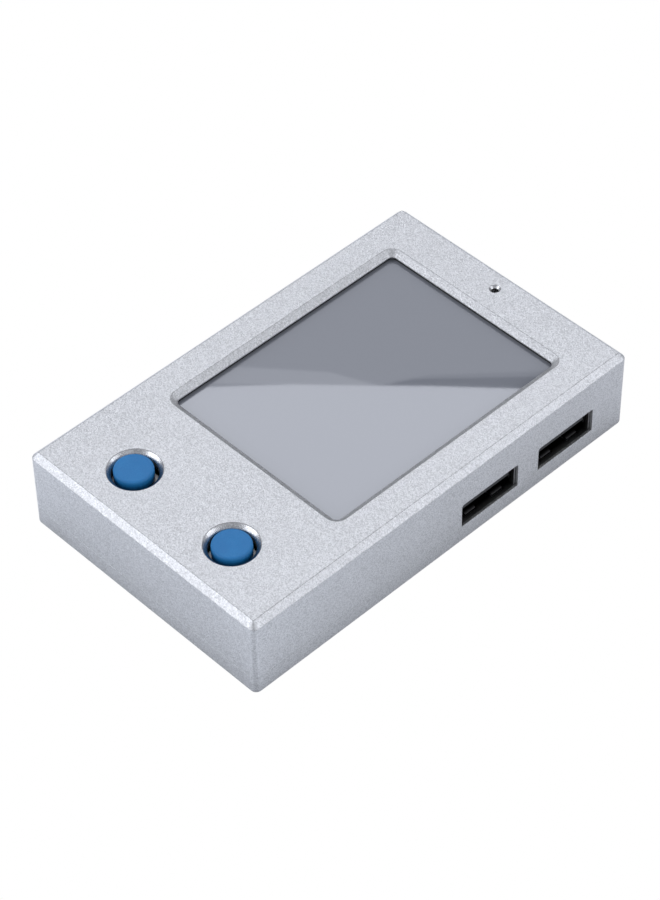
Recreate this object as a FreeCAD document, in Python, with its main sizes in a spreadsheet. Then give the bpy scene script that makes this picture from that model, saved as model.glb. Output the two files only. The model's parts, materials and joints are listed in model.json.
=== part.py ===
import FreeCAD, Part
import math
import os
from types import SimpleNamespace

import Sketcher
from FreeCAD import Vector

# A pocket tester for USB power in a two-piece aluminium case, in millimetres.
#
# Frame: +Z up, +X to the side with the two output sockets, +Y to the end with the indicator
# light, -Y to the end with the two buttons. The origin is the middle of the underside.
#
# The case is a deep top shell that closes on a shallow bottom cover at the joint line. The
# circuit board hangs from bosses under the shell's roof. The display stands on a moulded carrier
# above the board, the switches stand beside it, and the sockets hang below the board, so that
# their mouths meet the slots in the shell's side.

SIZES = (
    # name, value in millimetres, meaning
    ("case_length", 86.35, "case, along Y"),
    ("case_width", 53.3, "case, along X"),
    ("case_height", 16.2, "case, along Z, without the buttons"),
    ("corner_radius", 1.2, "upright corners of the case"),
    ("edge_chamfer", 1.12, "bevel round the top of the case"),
    ("foot_rounding", 0.4, "rounding round the bottom of the case"),
    ("wall", 1.5, "side walls"),
    ("roof", 2.0, "top wall of the shell"),
    ("floor_thickness", 1.5, "floor of the cover"),
    ("joint_height", 3.55, "joint line between cover and shell, above the base"),
    ("joint_break", 0.03, "broken edge on each side of the joint line"),
    ("cavity_corner", 1.2, "milled corners inside the case"),
    ("lip_height", 1.2, "locating lips of the cover, above the joint"),
    ("lip_thickness", 1.0, "locating lips of the cover"),
    ("lip_gap", 0.1, "between a locating lip and the shell's wall"),
    ("lip_end_gap", 1.0, "between a locating lip and a pillar or socket"),
    ("pillar_diameter", 5.2, "screw pillars in the corners"),
    ("pillar_merge", 0.2, "how far a pillar runs into the walls"),
    ("boss_diameter", 4.4, "board bosses under the roof"),
    ("boss_from_side", 5.5, "front bosses, from the case's long side"),
    ("rear_boss_spacing", 24.0, "between the two bosses beside the indicator"),
    ("rear_boss_from_end", 4.5, "rear bosses, from the indicator end"),
    ("screw_diameter", 2.0, "shank of every screw"),
    ("screw_gap", 0.05, "round a screw in its threaded hole"),
    ("pass_gap", 0.15, "round a screw in a plain hole"),
    ("hole_spare", 0.6, "blind holes, beyond the screw's tip"),
    ("cover_head_diameter", 3.8, "countersunk heads"),
    ("cover_head_height", 1.2, "countersunk heads"),
    ("cover_screw_length", 6.0, "countersunk screws, over all"),
    ("head_sink", 0.1, "countersunk heads, below the underside"),
    ("board_head_diameter", 3.6, "pan heads"),
    ("board_head_height", 1.3, "pan heads"),
    ("board_screw_length", 4.5, "pan-head screws, under the head"),
    ("recess_length", 2.2, "cross recess, tip to tip"),
    ("recess_width", 0.5, "cross recess, one arm"),
    ("recess_depth", 0.7, "cross recess"),
    ("window_from_side", 6.3, "screen window at the top face, from each long side"),
    ("window_from_end", 8.8, "screen window, from the indicator end"),
    ("window_from_buttons", 24.1, "screen window, from the button end"),
    ("window_corner", 1.1, "corners of the window at its lip"),
    ("bevel_run", 1.2, "window bevel, level"),
    ("bevel_drop", 0.92, "window bevel, down"),
    ("window_lip", 1.15, "shell left round the window"),
    ("screen_depth", 1.75, "screen's face, below the top face"),
    ("pocket_gap", 0.3, "round the display in its pocket"),
    ("module_side", 2.2, "display, past the window's lip on each long side"),
    ("module_head", 1.8, "display, past the window's lip at the indicator end"),
    ("module_foot", 7.45, "display, past the window's lip at the button end"),
    ("film_overlap", 0.6, "front film, behind the window's lip"),
    ("film_thickness", 0.2, "front film"),
    ("glass_thickness", 0.9, "glass cell"),
    ("backlight_thickness", 0.95, "backlight"),
    ("tray_sheet", 0.15, "steel tray of the display"),
    ("tray_gap", 0.1, "round the glass in its tray"),
    ("tray_drop", 0.3, "tray's rim, below the glass's face"),
    ("gasket_setback", 0.2, "gasket, behind the window's lip"),
    ("carrier_gap", 0.15, "round the tray in its carrier"),
    ("carrier_rim", 0.7, "rim of the carrier"),
    ("carrier_grip", 1.0, "carrier's rim, above its seat"),
    ("carrier_ledge", 3.0, "carrier's seat, under the display"),
    ("pin_relief", 0.3, "carrier, round the sockets' tails and pegs"),
    ("peg_diameter", 1.5, "locating pegs of the carrier"),
    ("peg_inset", 1.5, "locating pegs, from the display's corner"),
    ("peg_gap", 0.05, "round a locating peg in the board"),
    ("peg_short", 0.2, "locating pegs, short of the board's underside"),
    ("ribbon_width", 12.0, "display ribbon"),
    ("ribbon_thickness", 0.2, "display ribbon"),
    ("ribbon_rise", 0.3, "ribbon's middle, above the glass's underside"),
    ("ribbon_reach", 1.8, "ribbon, straight out of the glass"),
    ("ribbon_tail", 1.4, "ribbon, straight into its connector"),
    ("ribbon_notch_gap", 0.5, "beside the ribbon in the tray"),
    ("connector_width", 14.0, "ribbon connector"),
    ("connector_depth", 3.0, "ribbon connector"),
    ("connector_height", 1.2, "ribbon connector"),
    ("connector_grip", 0.9, "ribbon, inside its connector"),
    ("connector_gap", 0.05, "round the ribbon in its connector"),
    ("board_thickness", 1.6, "circuit board"),
    ("board_gap", 0.3, "between the board and the walls"),
    ("notch_gap", 0.4, "between the board and a pillar"),
    ("button_spacing", 23.0, "between the two button holes' middles"),
    ("button_from_end", 9.65, "button holes' middles, from the button end"),
    ("button_hole", 7.85, "button holes in the roof, below the countersink"),
    ("button_hole_sink", 0.8, "countersink of a button hole, level and down"),
    ("left_button_shift", 0.3, "left button, off its hole's middle toward the long side"),
    ("cap_diameter", 6.75, "button caps"),
    ("cap_height", 2.2, "button caps"),
    ("cap_proud", 0.2, "button caps, above the top face"),
    ("cap_rim", 0.35, "rounded rim of a cap"),
    ("cap_crown", 1.0, "cap, above the end of its socket"),
    ("press_travel", 0.3, "how far a button goes down"),
    ("press_gap", 0.14, "below a cap that is fully pressed"),
    ("fit_gap", 0.02, "round a plunger in its cap"),
    ("switch_size", 6.0, "switches, square"),
    ("switch_sheet", 0.2, "metal cover of a switch"),
    ("switch_clip", 1.6, "clips of the metal cover, down the sides"),
    ("switch_clip_width", 1.2, "clips of the metal cover"),
    ("switch_bore", 4.8, "well in a switch's base"),
    ("plunger_diameter", 3.4, "plungers"),
    ("plunger_gap", 0.15, "round a plunger in the metal cover"),
    ("flange_diameter", 4.4, "collar that keeps a plunger in"),
    ("flange_thickness", 0.5, "collar that keeps a plunger in"),
    ("foot_diameter", 1.6, "plunger's foot on the dome"),
    ("foot_height", 0.3, "plunger's foot on the dome"),
    ("dome_diameter", 4.2, "snap domes"),
    ("dome_height", 0.45, "snap domes"),
    ("dome_sheet", 0.1, "snap domes"),
    ("rest_gap", 0.02, "between pieces that rest on each other in a switch"),
    ("terminal_width", 0.7, "switch terminals"),
    ("terminal_sheet", 0.3, "switch terminals"),
    ("terminal_spacing", 4.5, "between two terminals on one side"),
    ("terminal_rise", 1.0, "terminals, above the board"),
    ("terminal_tail", 1.0, "terminals, below the board"),
    ("solder_gap", 0.15, "round a pin in the board"),
    ("slot_width", 13.35, "slots in the side, along Y"),
    ("slot_height", 5.0, "slots in the side, along Z"),
    ("slot_corner", 0.5, "rounded upper corners of a slot"),
    ("slot_spacing", 18.3, "between the two slots' middles"),
    ("slots_from_end", 23.95, "middle of the pair of slots, from the indicator end"),
    ("port_wall", 0.5, "side wall left round a slot"),
    ("port_gap", 0.2, "round a socket in its relief"),
    ("mouth_gap", 0.05, "between a socket's mouth and the side wall"),
    ("socket_width", 12.5, "inside an output socket, along Y"),
    ("socket_height", 5.12, "inside an output socket, along Z"),
    ("socket_length", 13.8, "output sockets, along X"),
    ("socket_sheet", 0.3, "sheet of an output socket"),
    ("leaf_width", 2.4, "spring leaves of an output socket"),
    ("leaf_length", 5.0, "spring leaves"),
    ("leaf_bend", 0.45, "spring leaves, bent in"),
    ("leaf_nose", 0.5, "turned-out end of a spring leaf"),
    ("leaf_setback", 0.9, "spring leaves, from the mouth"),
    ("leaf_gap", 0.2, "beside a leaf in its window"),
    ("floor_leaf_offset", 3.2, "floor leaves, from the socket's middle"),
    ("tongue_width", 11.1, "tongue of an output socket"),
    ("tongue_thickness", 1.84, "tongue of an output socket"),
    ("tongue_setback", 0.6, "tongue, behind the mouth"),
    ("tongue_rise", 0.05, "tongue's underside, above the socket's middle"),
    ("block_length", 4.0, "insulator behind the tongue"),
    ("block_gap", 0.05, "round the insulator in its sheet"),
    ("contact_width", 1.0, "contacts of an output socket"),
    ("contact_sheet", 0.25, "contacts"),
    ("contact_short", 0.5, "contacts, short of the tongue's tip"),
    ("inner_contact_offset", 1.0, "inner pair of contacts, from the middle"),
    ("outer_contact_offset", 3.5, "outer pair of contacts, from the middle"),
    ("contact_tail_inset", 0.6, "tails of the contacts, from the socket's rear"),
    ("tail_window_gap", 0.6, "sheet cut back round the tails"),
    ("tail_proud", 0.5, "tails and pegs, above the board"),
    ("socket_peg_width", 1.6, "solder pegs of a socket"),
    ("socket_peg_from_rear", 3.4, "solder pegs, from the socket's rear"),
    ("input_width", 8.9, "input socket, along Y"),
    ("input_height", 3.2, "input socket, along Z"),
    ("input_length", 7.3, "input socket, along X"),
    ("input_sheet", 0.25, "sheet of the input socket"),
    ("input_corner", 1.3, "rounded corners of the input socket"),
    ("input_recess", 0.4, "input socket's mouth, behind the case's side"),
    ("input_gap", 0.25, "round the input socket in the wall"),
    ("input_block_length", 2.5, "insulator of the input socket"),
    ("input_tongue_width", 6.7, "tongue of the input socket"),
    ("input_tongue_thickness", 0.7, "tongue of the input socket"),
    ("input_tongue_setback", 0.9, "tongue of the input socket, behind the mouth"),
    ("input_contact_pitch", 1.0, "contacts of the input socket"),
    ("input_contact_width", 0.5, "contacts of the input socket"),
    ("input_contact_sheet", 0.15, "contacts of the input socket"),
    ("indicator_from_end", 4.3, "pinhole, from the indicator end"),
    ("indicator_hole", 1.15, "pinhole over the indicator light"),
    ("indicator_sink", 2.05, "countersink of the pinhole"),
    ("indicator_length", 1.6, "indicator light, along X"),
    ("indicator_width", 0.8, "indicator light, along Y"),
    ("indicator_height", 0.7, "indicator light"),
    ("controller_size", 7.0, "microcontroller, square"),
    ("controller_height", 1.4, "microcontroller"),
    ("controller_from_side", 16.5, "microcontroller's middle, from the input side"),
    ("controller_from_end", 31.0, "controller and converter row, from the button end"),
    ("crystal_length", 3.2, "clock crystal, along X"),
    ("crystal_width", 2.5, "clock crystal, along Y"),
    ("crystal_height", 0.8, "clock crystal"),
    ("crystal_gap", 1.5, "between the crystal and the controller"),
    ("regulator_length", 4.9, "voltage regulator, along X"),
    ("regulator_width", 3.9, "voltage regulator, along Y"),
    ("regulator_height", 1.5, "voltage regulator"),
    ("regulator_gap", 6.05, "between the regulator and the controller"),
    ("inductor_size", 6.0, "power inductor, square"),
    ("inductor_height", 3.0, "power inductor"),
    ("inductor_corner", 1.0, "cut corners of the inductor"),
    ("inductor_gap", 2.0, "between the inductor and the regulator"),
    ("shunt_length", 6.4, "current shunt, along Y"),
    ("shunt_width", 3.2, "current shunt, along X"),
    ("shunt_height", 0.8, "current shunt"),
    ("shunt_from_socket", 8.15, "current shunt's middle, behind the output sockets"),
    ("load_switch_size", 5.0, "load switches, square"),
    ("load_switch_height", 1.0, "load switches"),
    ("load_switch_gap", 2.5, "between a load switch and its socket"),
    ("bulk_diameter", 6.3, "bulk capacitors"),
    ("bulk_height", 5.2, "bulk capacitors"),
    ("bulk_from_socket", 20.15, "bulk capacitors' axes, behind the output sockets"),
    ("chip_length", 2.0, "ceramic capacitors, along X"),
    ("chip_width", 1.25, "ceramic capacitors, along Y"),
    ("chip_height", 1.0, "ceramic capacitors"),
    ("chip_pitch", 2.6, "ceramic capacitors, along Y"),
)


TOLERANCE = 1e-6
REACH = 1e-4
QUARTER_TURN = math.pi / 2
CHIP_COUNT = 4
INPUT_CONTACT_COUNT = 6

doc = FreeCAD.newDocument("usb_power_meter")


class Length:
    """A length in millimetres, with the sheet expression that gives it."""

    def __init__(self, value, text):
        self.value = value
        self.text = text

    def __add__(self, other):
        return Length(self.value + other.value, f"({self.text} + {other.text})")

    def __sub__(self, other):
        return Length(self.value - other.value, f"({self.text} - {other.text})")

    def __mul__(self, factor):
        return Length(self.value * factor, f"{self.text} * {factor}")

    def __truediv__(self, divisor):
        return Length(self.value / divisor, f"{self.text} / {divisor}")

    def __neg__(self):
        return Length(-self.value, f"(0 - {self.text})")


def make_sheet():
    """Write the sizes into the document's spreadsheet and give them as named lengths."""
    sheet = doc.addObject("Spreadsheet::Sheet", "Sizes")
    lengths = SimpleNamespace()
    for row, (name, value, meaning) in enumerate(SIZES, start=1):
        sheet.set(f"A{row}", name)
        sheet.set(f"B{row}", str(value))
        sheet.set(f"C{row}", meaning)
        sheet.setAlias(f"B{row}", name)
        setattr(lengths, name, Length(value, f"{sheet.Name}.{name}"))
    doc.recompute()
    return lengths


dim = make_sheet()
NONE = Length(0.0, "0")


# ---- limits along one axis ----------------------------------------------------------------

def around(middle, size):
    """Limits of something of this size about a middle."""
    return (middle - size / 2, middle + size / 2)


def upward(low, size):
    return (low, low + size)


def downward(high, size):
    return (high - size, high)


def wider(limits, gap):
    """Limits with a gap added at both ends."""
    return (limits[0] - gap, limits[1] + gap)


def mirrored(limits):
    return (-limits[1], -limits[0])


# ---- levels and places that several pieces share --------------------------------------------

half_width = dim.case_width / 2
half_length = dim.case_length / 2
inner_half_width = half_width - dim.wall
inner_half_length = half_length - dim.wall
case_x = (-half_width, half_width)
case_y = (-half_length, half_length)
cavity_x = (-inner_half_width, inner_half_width)
cavity_y = (-inner_half_length, inner_half_length)
roof_underside = dim.case_height - dim.roof

socket_middle = dim.joint_height + dim.slot_height / 2
board_underside = socket_middle + dim.socket_height / 2 + dim.socket_sheet
board_top = board_underside + dim.board_thickness
pin_top = board_top + dim.tail_proud

pillar_reach = dim.pillar_diameter / 2 - dim.pillar_merge
pillar_x = inner_half_width - pillar_reach
pillar_y = inner_half_length - pillar_reach
pillar_inner_x = pillar_x - dim.pillar_diameter / 2
pillar_inner_y = pillar_y - dim.pillar_diameter / 2
CORNERS = (
    (pillar_x, pillar_y),
    (-pillar_x, pillar_y),
    (-pillar_x, -pillar_y),
    (pillar_x, -pillar_y),
)

button_row = dim.button_from_end - half_length
front_boss_x = half_width - dim.boss_from_side
rear_boss_y = half_length - dim.rear_boss_from_end
BOSSES = (
    (front_boss_x, button_row),
    (-front_boss_x, button_row),
    (dim.rear_boss_spacing / 2, rear_boss_y),
    (-dim.rear_boss_spacing / 2, rear_boss_y),
)

window_x = wider(case_x, -dim.window_from_side)
window_y = (dim.window_from_buttons - half_length, half_length - dim.window_from_end)
lip_x = wider(window_x, -dim.bevel_run)
lip_y = wider(window_y, -dim.bevel_run)
lip_underside = dim.case_height - dim.window_lip
film_top = dim.case_height - dim.screen_depth
glass_top = film_top - dim.film_thickness
glass_underside = glass_top - dim.glass_thickness
tray_floor = glass_underside - dim.backlight_thickness
tray_underside = tray_floor - dim.tray_sheet
module_x = wider(lip_x, dim.module_side)
module_y = (lip_y[0] - dim.module_foot, lip_y[1] + dim.module_head)
tray_clearance = dim.tray_sheet + dim.tray_gap
glass_x = wider(module_x, -tray_clearance)
glass_y = wider(module_y, -tray_clearance)
peg_inset = dim.peg_inset
PEGS = (
    (module_x[0] + peg_inset, module_y[0] + peg_inset),
    (module_x[1] - peg_inset, module_y[1] - peg_inset),
)

ribbon_middle = glass_underside + dim.ribbon_rise
connector_middle = board_top + dim.connector_height / 2
ribbon_bend = (ribbon_middle - connector_middle) / 2
ribbon_fall = glass_y[0] - dim.ribbon_reach
ribbon_landing = ribbon_fall - ribbon_bend * 2
ribbon_end = ribbon_landing - dim.ribbon_tail

cap_top = dim.case_height + dim.cap_proud
cap_underside = cap_top - dim.cap_height
plunger_top = cap_top - dim.cap_crown
switch_top = cap_underside - dim.press_travel - dim.press_gap
switch_sheet_underside = switch_top - dim.switch_sheet
flange_top = switch_sheet_underside - dim.rest_gap
flange_underside = flange_top - dim.flange_thickness
foot_underside = flange_underside - dim.foot_height
well_floor = foot_underside - dim.rest_gap - dim.dome_height
terminal_x = dim.switch_size / 2 + dim.terminal_sheet / 2
hole_x = (-dim.button_spacing / 2, dim.button_spacing / 2)
BUTTONS = (
    ("left", hole_x[0] - dim.left_button_shift),
    ("right", hole_x[1]),
)

slots_middle = half_length - dim.slots_from_end
slot_z = (dim.joint_height, dim.joint_height + dim.slot_height)
port_face = half_width - dim.port_wall
socket_mouth = port_face - dim.mouth_gap
socket_rear = socket_mouth - dim.socket_length
socket_inner_y = around(NONE, dim.socket_width)
socket_inner_z = around(socket_middle, dim.socket_height)
socket_outer_y = wider(socket_inner_y, dim.socket_sheet)
socket_outer_z = wider(socket_inner_z, dim.socket_sheet)
socket_peg_x = socket_rear + dim.socket_peg_from_rear
tongue_tip = socket_mouth - dim.tongue_setback
tongue_underside = socket_middle + dim.tongue_rise
tail_x = socket_rear + dim.socket_sheet + dim.contact_tail_inset
CONTACT_OFFSETS = (
    -dim.outer_contact_offset,
    -dim.inner_contact_offset,
    dim.inner_contact_offset,
    dim.outer_contact_offset,
)
OUTPUTS = (
    ("front", slots_middle - dim.slot_spacing / 2),
    ("rear", slots_middle + dim.slot_spacing / 2),
)

input_mouth = dim.input_recess - half_width
input_rear = input_mouth + dim.input_length
input_y = around(NONE, dim.input_width)
input_z = downward(board_underside, dim.input_height)
input_middle = board_underside - dim.input_height / 2
input_tongue_top = input_middle + dim.input_tongue_thickness / 2

indicator_y = half_length - dim.indicator_from_end


# ---- document helpers -----------------------------------------------------------------------

def bind(thing, name, length):
    """Tie one property of a document object to its sheet expression."""
    thing.setExpression(name, length.text)


def set_corner(thing, x, y, z):
    """Place a document object by its lowest corner or the foot of its axis."""
    bind(thing, "Placement.Base.x", x)
    bind(thing, "Placement.Base.y", y)
    bind(thing, "Placement.Base.z", z)


def shape_block(thing, x, y, z):
    """Give a box feature its limits on the three axes."""
    bind(thing, "Length", x[1] - x[0])
    bind(thing, "Width", y[1] - y[0])
    bind(thing, "Height", z[1] - z[0])
    set_corner(thing, x[0], y[0], z[0])


def shape_rod(thing, x, y, z, diameter):
    """Give an upright cylinder feature its axis, limits and diameter."""
    bind(thing, "Radius", diameter / 2)
    bind(thing, "Height", z[1] - z[0])
    set_corner(thing, x, y, z[0])


def shape_cone(thing, x, y, z, low_diameter, high_diameter):
    """Give an upright cone feature its axis, limits and end diameters."""
    bind(thing, "Radius1", low_diameter / 2)
    bind(thing, "Radius2", high_diameter / 2)
    bind(thing, "Height", z[1] - z[0])
    set_corner(thing, x, y, z[0])


# ---- sketch profiles ------------------------------------------------------------------------

def constrain(sketch, name, length, *what):
    """Add one dimension to a sketch and tie it to its sheet expression."""
    index = sketch.addConstraint(Sketcher.Constraint(*what, length.value))
    sketch.renameConstraint(index, name)
    bind(sketch, f"Constraints.{name}", length)


class Outline:
    """A closed profile of straight edges, each corner set by its own two distances."""

    def __init__(self, corners):
        self.corners = corners

    def draw(self, sketch):
        points = [Vector(across.value, along.value, 0) for across, along in self.corners]
        count = len(points)
        for number, point in enumerate(points):
            sketch.addGeometry(Part.LineSegment(point, points[(number + 1) % count]), False)
        for number in range(count):
            sketch.addConstraint(
                Sketcher.Constraint("Coincident", number, 2, (number + 1) % count, 1))
        for number, (across, along) in enumerate(self.corners):
            constrain(sketch, f"across{number}", across, "DistanceX", -1, 1, number, 1)
            constrain(sketch, f"along{number}", along, "DistanceY", -1, 1, number, 1)


class RoundedRectangle:
    """A rectangle between two pairs of limits, with equal round corners."""

    def __init__(self, across, along, radius):
        self.across = across
        self.along = along
        self.radius = radius

    def draw(self, sketch):
        left, right = (limit.value for limit in self.across)
        low, high = (limit.value for limit in self.along)
        radius = self.radius.value
        sides = (
            (left + radius, low, right - radius, low),
            (right, low + radius, right, high - radius),
            (right - radius, high, left + radius, high),
            (left, high - radius, left, low + radius),
        )
        for x1, y1, x2, y2 in sides:
            sketch.addGeometry(Part.LineSegment(Vector(x1, y1, 0), Vector(x2, y2, 0)), False)
        centres = (
            (right - radius, low + radius),
            (right - radius, high - radius),
            (left + radius, high - radius),
            (left + radius, low + radius),
        )
        for number, (x, y) in enumerate(centres):
            circle = Part.Circle(Vector(x, y, 0), Vector(0, 0, 1), radius)
            start = (number - 1) * QUARTER_TURN
            sketch.addGeometry(Part.ArcOfCircle(circle, start, start + QUARTER_TURN), False)
        count = len(sides)
        first_arc = count
        for side in range(count):
            arc = first_arc + side
            sketch.addConstraint(Sketcher.Constraint("Tangent", side, 2, arc, 1))
            sketch.addConstraint(Sketcher.Constraint("Tangent", arc, 2, (side + 1) % count, 1))
            if arc > first_arc:
                sketch.addConstraint(Sketcher.Constraint("Equal", first_arc, arc))
        for side, direction in enumerate(("Horizontal", "Vertical") * 2):
            sketch.addConstraint(Sketcher.Constraint(direction, side))
        constrain(sketch, "radius", self.radius, "Radius", first_arc)
        constrain(sketch, "low", self.along[0], "DistanceY", -1, 1, 0, 1)
        constrain(sketch, "right", self.across[1], "DistanceX", -1, 1, 1, 1)
        constrain(sketch, "high", self.along[1], "DistanceY", -1, 1, 2, 1)
        constrain(sketch, "left", self.across[0], "DistanceX", -1, 1, 3, 1)


class Circles:
    """Round profiles, each with its middle and diameter."""

    def __init__(self, circles):
        self.circles = circles

    def draw(self, sketch):
        for number, (across, along, diameter) in enumerate(self.circles):
            middle = Vector(across.value, along.value, 0)
            circle = Part.Circle(middle, Vector(0, 0, 1), diameter.value / 2)
            sketch.addGeometry(circle, False)
            constrain(sketch, f"across{number}", across, "DistanceX", -1, 1, number, 3)
            constrain(sketch, f"along{number}", along, "DistanceY", -1, 1, number, 3)
            constrain(sketch, f"diameter{number}", diameter, "Diameter", number)


# ---- bodies that grow feature by feature ----------------------------------------------------

class Milled:
    """A PartDesign body whose every feature is checked to add or remove material."""

    def __init__(self, label):
        self.label = label
        self.body = doc.addObject("PartDesign::Body", label)
        self.volume = 0.0

    def _feature(self, kind):
        return self.body.newObject(f"PartDesign::{kind}", f"{self.label}_{kind}")

    def _settle(self, feature, adds):
        """Recompute, and stop if the feature did nothing or went the wrong way."""
        doc.recompute()
        volume = self.body.Shape.Volume
        change = volume - self.volume if adds else self.volume - volume
        if change < TOLERANCE:
            raise RuntimeError(f"{feature.Name} has no effect: {self.volume} to {volume}")
        self.volume = volume

    def sketch(self, role, level, profile):
        """Draw a profile on one of the body's origin planes, at a level above it."""
        plane = next(item for item in self.body.Origin.OriginFeatures if item.Role == role)
        sketch = self.body.newObject("Sketcher::SketchObject", f"{self.label}_sketch")
        sketch.AttachmentSupport = [(plane, "")]
        sketch.MapMode = "FlatFace"
        bind(sketch, "AttachmentOffset.Base.z", level)
        profile.draw(sketch)
        return sketch

    def pad(self, role, level, profile, depth, both_ways=False):
        feature = self._feature("Pad")
        feature.Profile = self.sketch(role, level, profile)
        feature.SideType = "Symmetric" if both_ways else "One side"
        bind(feature, "Length", depth)
        self._settle(feature, adds=True)

    def pocket(self, role, level, profile, depth, forward=False):
        """Cut a profile against its plane's normal, or along it if forward."""
        feature = self._feature("Pocket")
        feature.Profile = self.sketch(role, level, profile)
        feature.Reversed = forward
        bind(feature, "Length", depth)
        self._settle(feature, adds=False)

    def revolve(self, sketch):
        feature = self._feature("Revolution")
        feature.Profile = sketch
        feature.ReferenceAxis = (sketch, ["V_Axis"])
        feature.Angle = 360.0
        self._settle(feature, adds=True)

    def sweep(self, profile_sketch, path_sketch):
        feature = self._feature("AdditivePipe")
        feature.Profile = profile_sketch
        feature.Spine = path_sketch
        self._settle(feature, adds=True)

    def add_block(self, x, y, z):
        feature = self._feature("AdditiveBox")
        shape_block(feature, x, y, z)
        self._settle(feature, adds=True)

    def cut_block(self, x, y, z):
        feature = self._feature("SubtractiveBox")
        shape_block(feature, x, y, z)
        self._settle(feature, adds=False)

    def add_rod(self, x, y, z, diameter):
        feature = self._feature("AdditiveCylinder")
        shape_rod(feature, x, y, z, diameter)
        self._settle(feature, adds=True)

    def cut_rod(self, x, y, z, diameter):
        feature = self._feature("SubtractiveCylinder")
        shape_rod(feature, x, y, z, diameter)
        self._settle(feature, adds=False)

    def cut_cone(self, x, y, z, low_diameter, high_diameter):
        feature = self._feature("SubtractiveCone")
        shape_cone(feature, x, y, z, low_diameter, high_diameter)
        self._settle(feature, adds=False)

    def _level_edges(self, level, x, y):
        """Names of the newest feature's edges that lie level here, inside the limits."""
        names = []
        for number, edge in enumerate(self.body.Tip.Shape.Edges, start=1):
            box = edge.BoundBox
            flat = level.value - REACH < box.ZMin and box.ZMax < level.value + REACH
            inside_x = x[0].value - REACH < box.XMin and box.XMax < x[1].value + REACH
            inside_y = y[0].value - REACH < box.YMin and box.YMax < y[1].value + REACH
            if flat and inside_x and inside_y:
                names.append(f"Edge{number}")
        return names

    def fillet(self, level, radius, x=None, y=None):
        """Round the edges that lie level at one height."""
        base = self.body.Tip
        edges = self._level_edges(level, x or case_x, y or case_y)
        feature = self._feature("Fillet")
        feature.Base = (base, edges)
        bind(feature, "Radius", radius)
        self._settle(feature, adds=False)

    def chamfer(self, level, size, drop=None, x=None, y=None):
        """Bevel the edges that lie level at one height, equally or with a drop of its own."""
        base = self.body.Tip
        edges = self._level_edges(level, x or case_x, y or case_y)
        feature = self._feature("Chamfer")
        feature.Base = (base, edges)
        bind(feature, "Size", size)
        if drop is not None:
            feature.ChamferType = "Two distances"
            bind(feature, "Size2", drop)
        self._settle(feature, adds=False)


# ---- plain solids ---------------------------------------------------------------------------

def block(label, x, y, z):
    """A box between two limits on each axis."""
    solid = doc.addObject("Part::Box", label)
    shape_block(solid, x, y, z)
    return solid


def rod(label, x, y, z, diameter):
    """An upright cylinder."""
    solid = doc.addObject("Part::Cylinder", label)
    shape_rod(solid, x, y, z, diameter)
    return solid


def cone(label, x, y, z, low_diameter, high_diameter):
    """An upright cone with its own diameter at each end."""
    solid = doc.addObject("Part::Cone", label)
    shape_cone(solid, x, y, z, low_diameter, high_diameter)
    return solid


def fused(label, solids):
    """One solid made of several that meet."""
    union = doc.addObject("Part::MultiFuse", label)
    union.Shapes = solids
    union.Refine = True
    return union


def cut(label, base, tool):
    """A solid less another."""
    difference = doc.addObject("Part::Cut", label)
    difference.Base = base
    difference.Tool = tool
    return difference


def grouped(label, solids):
    """Separate solids kept together in one node."""
    group = doc.addObject("Part::Compound", label)
    group.Links = solids
    return group


# ---- case -----------------------------------------------------------------------------------

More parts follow.
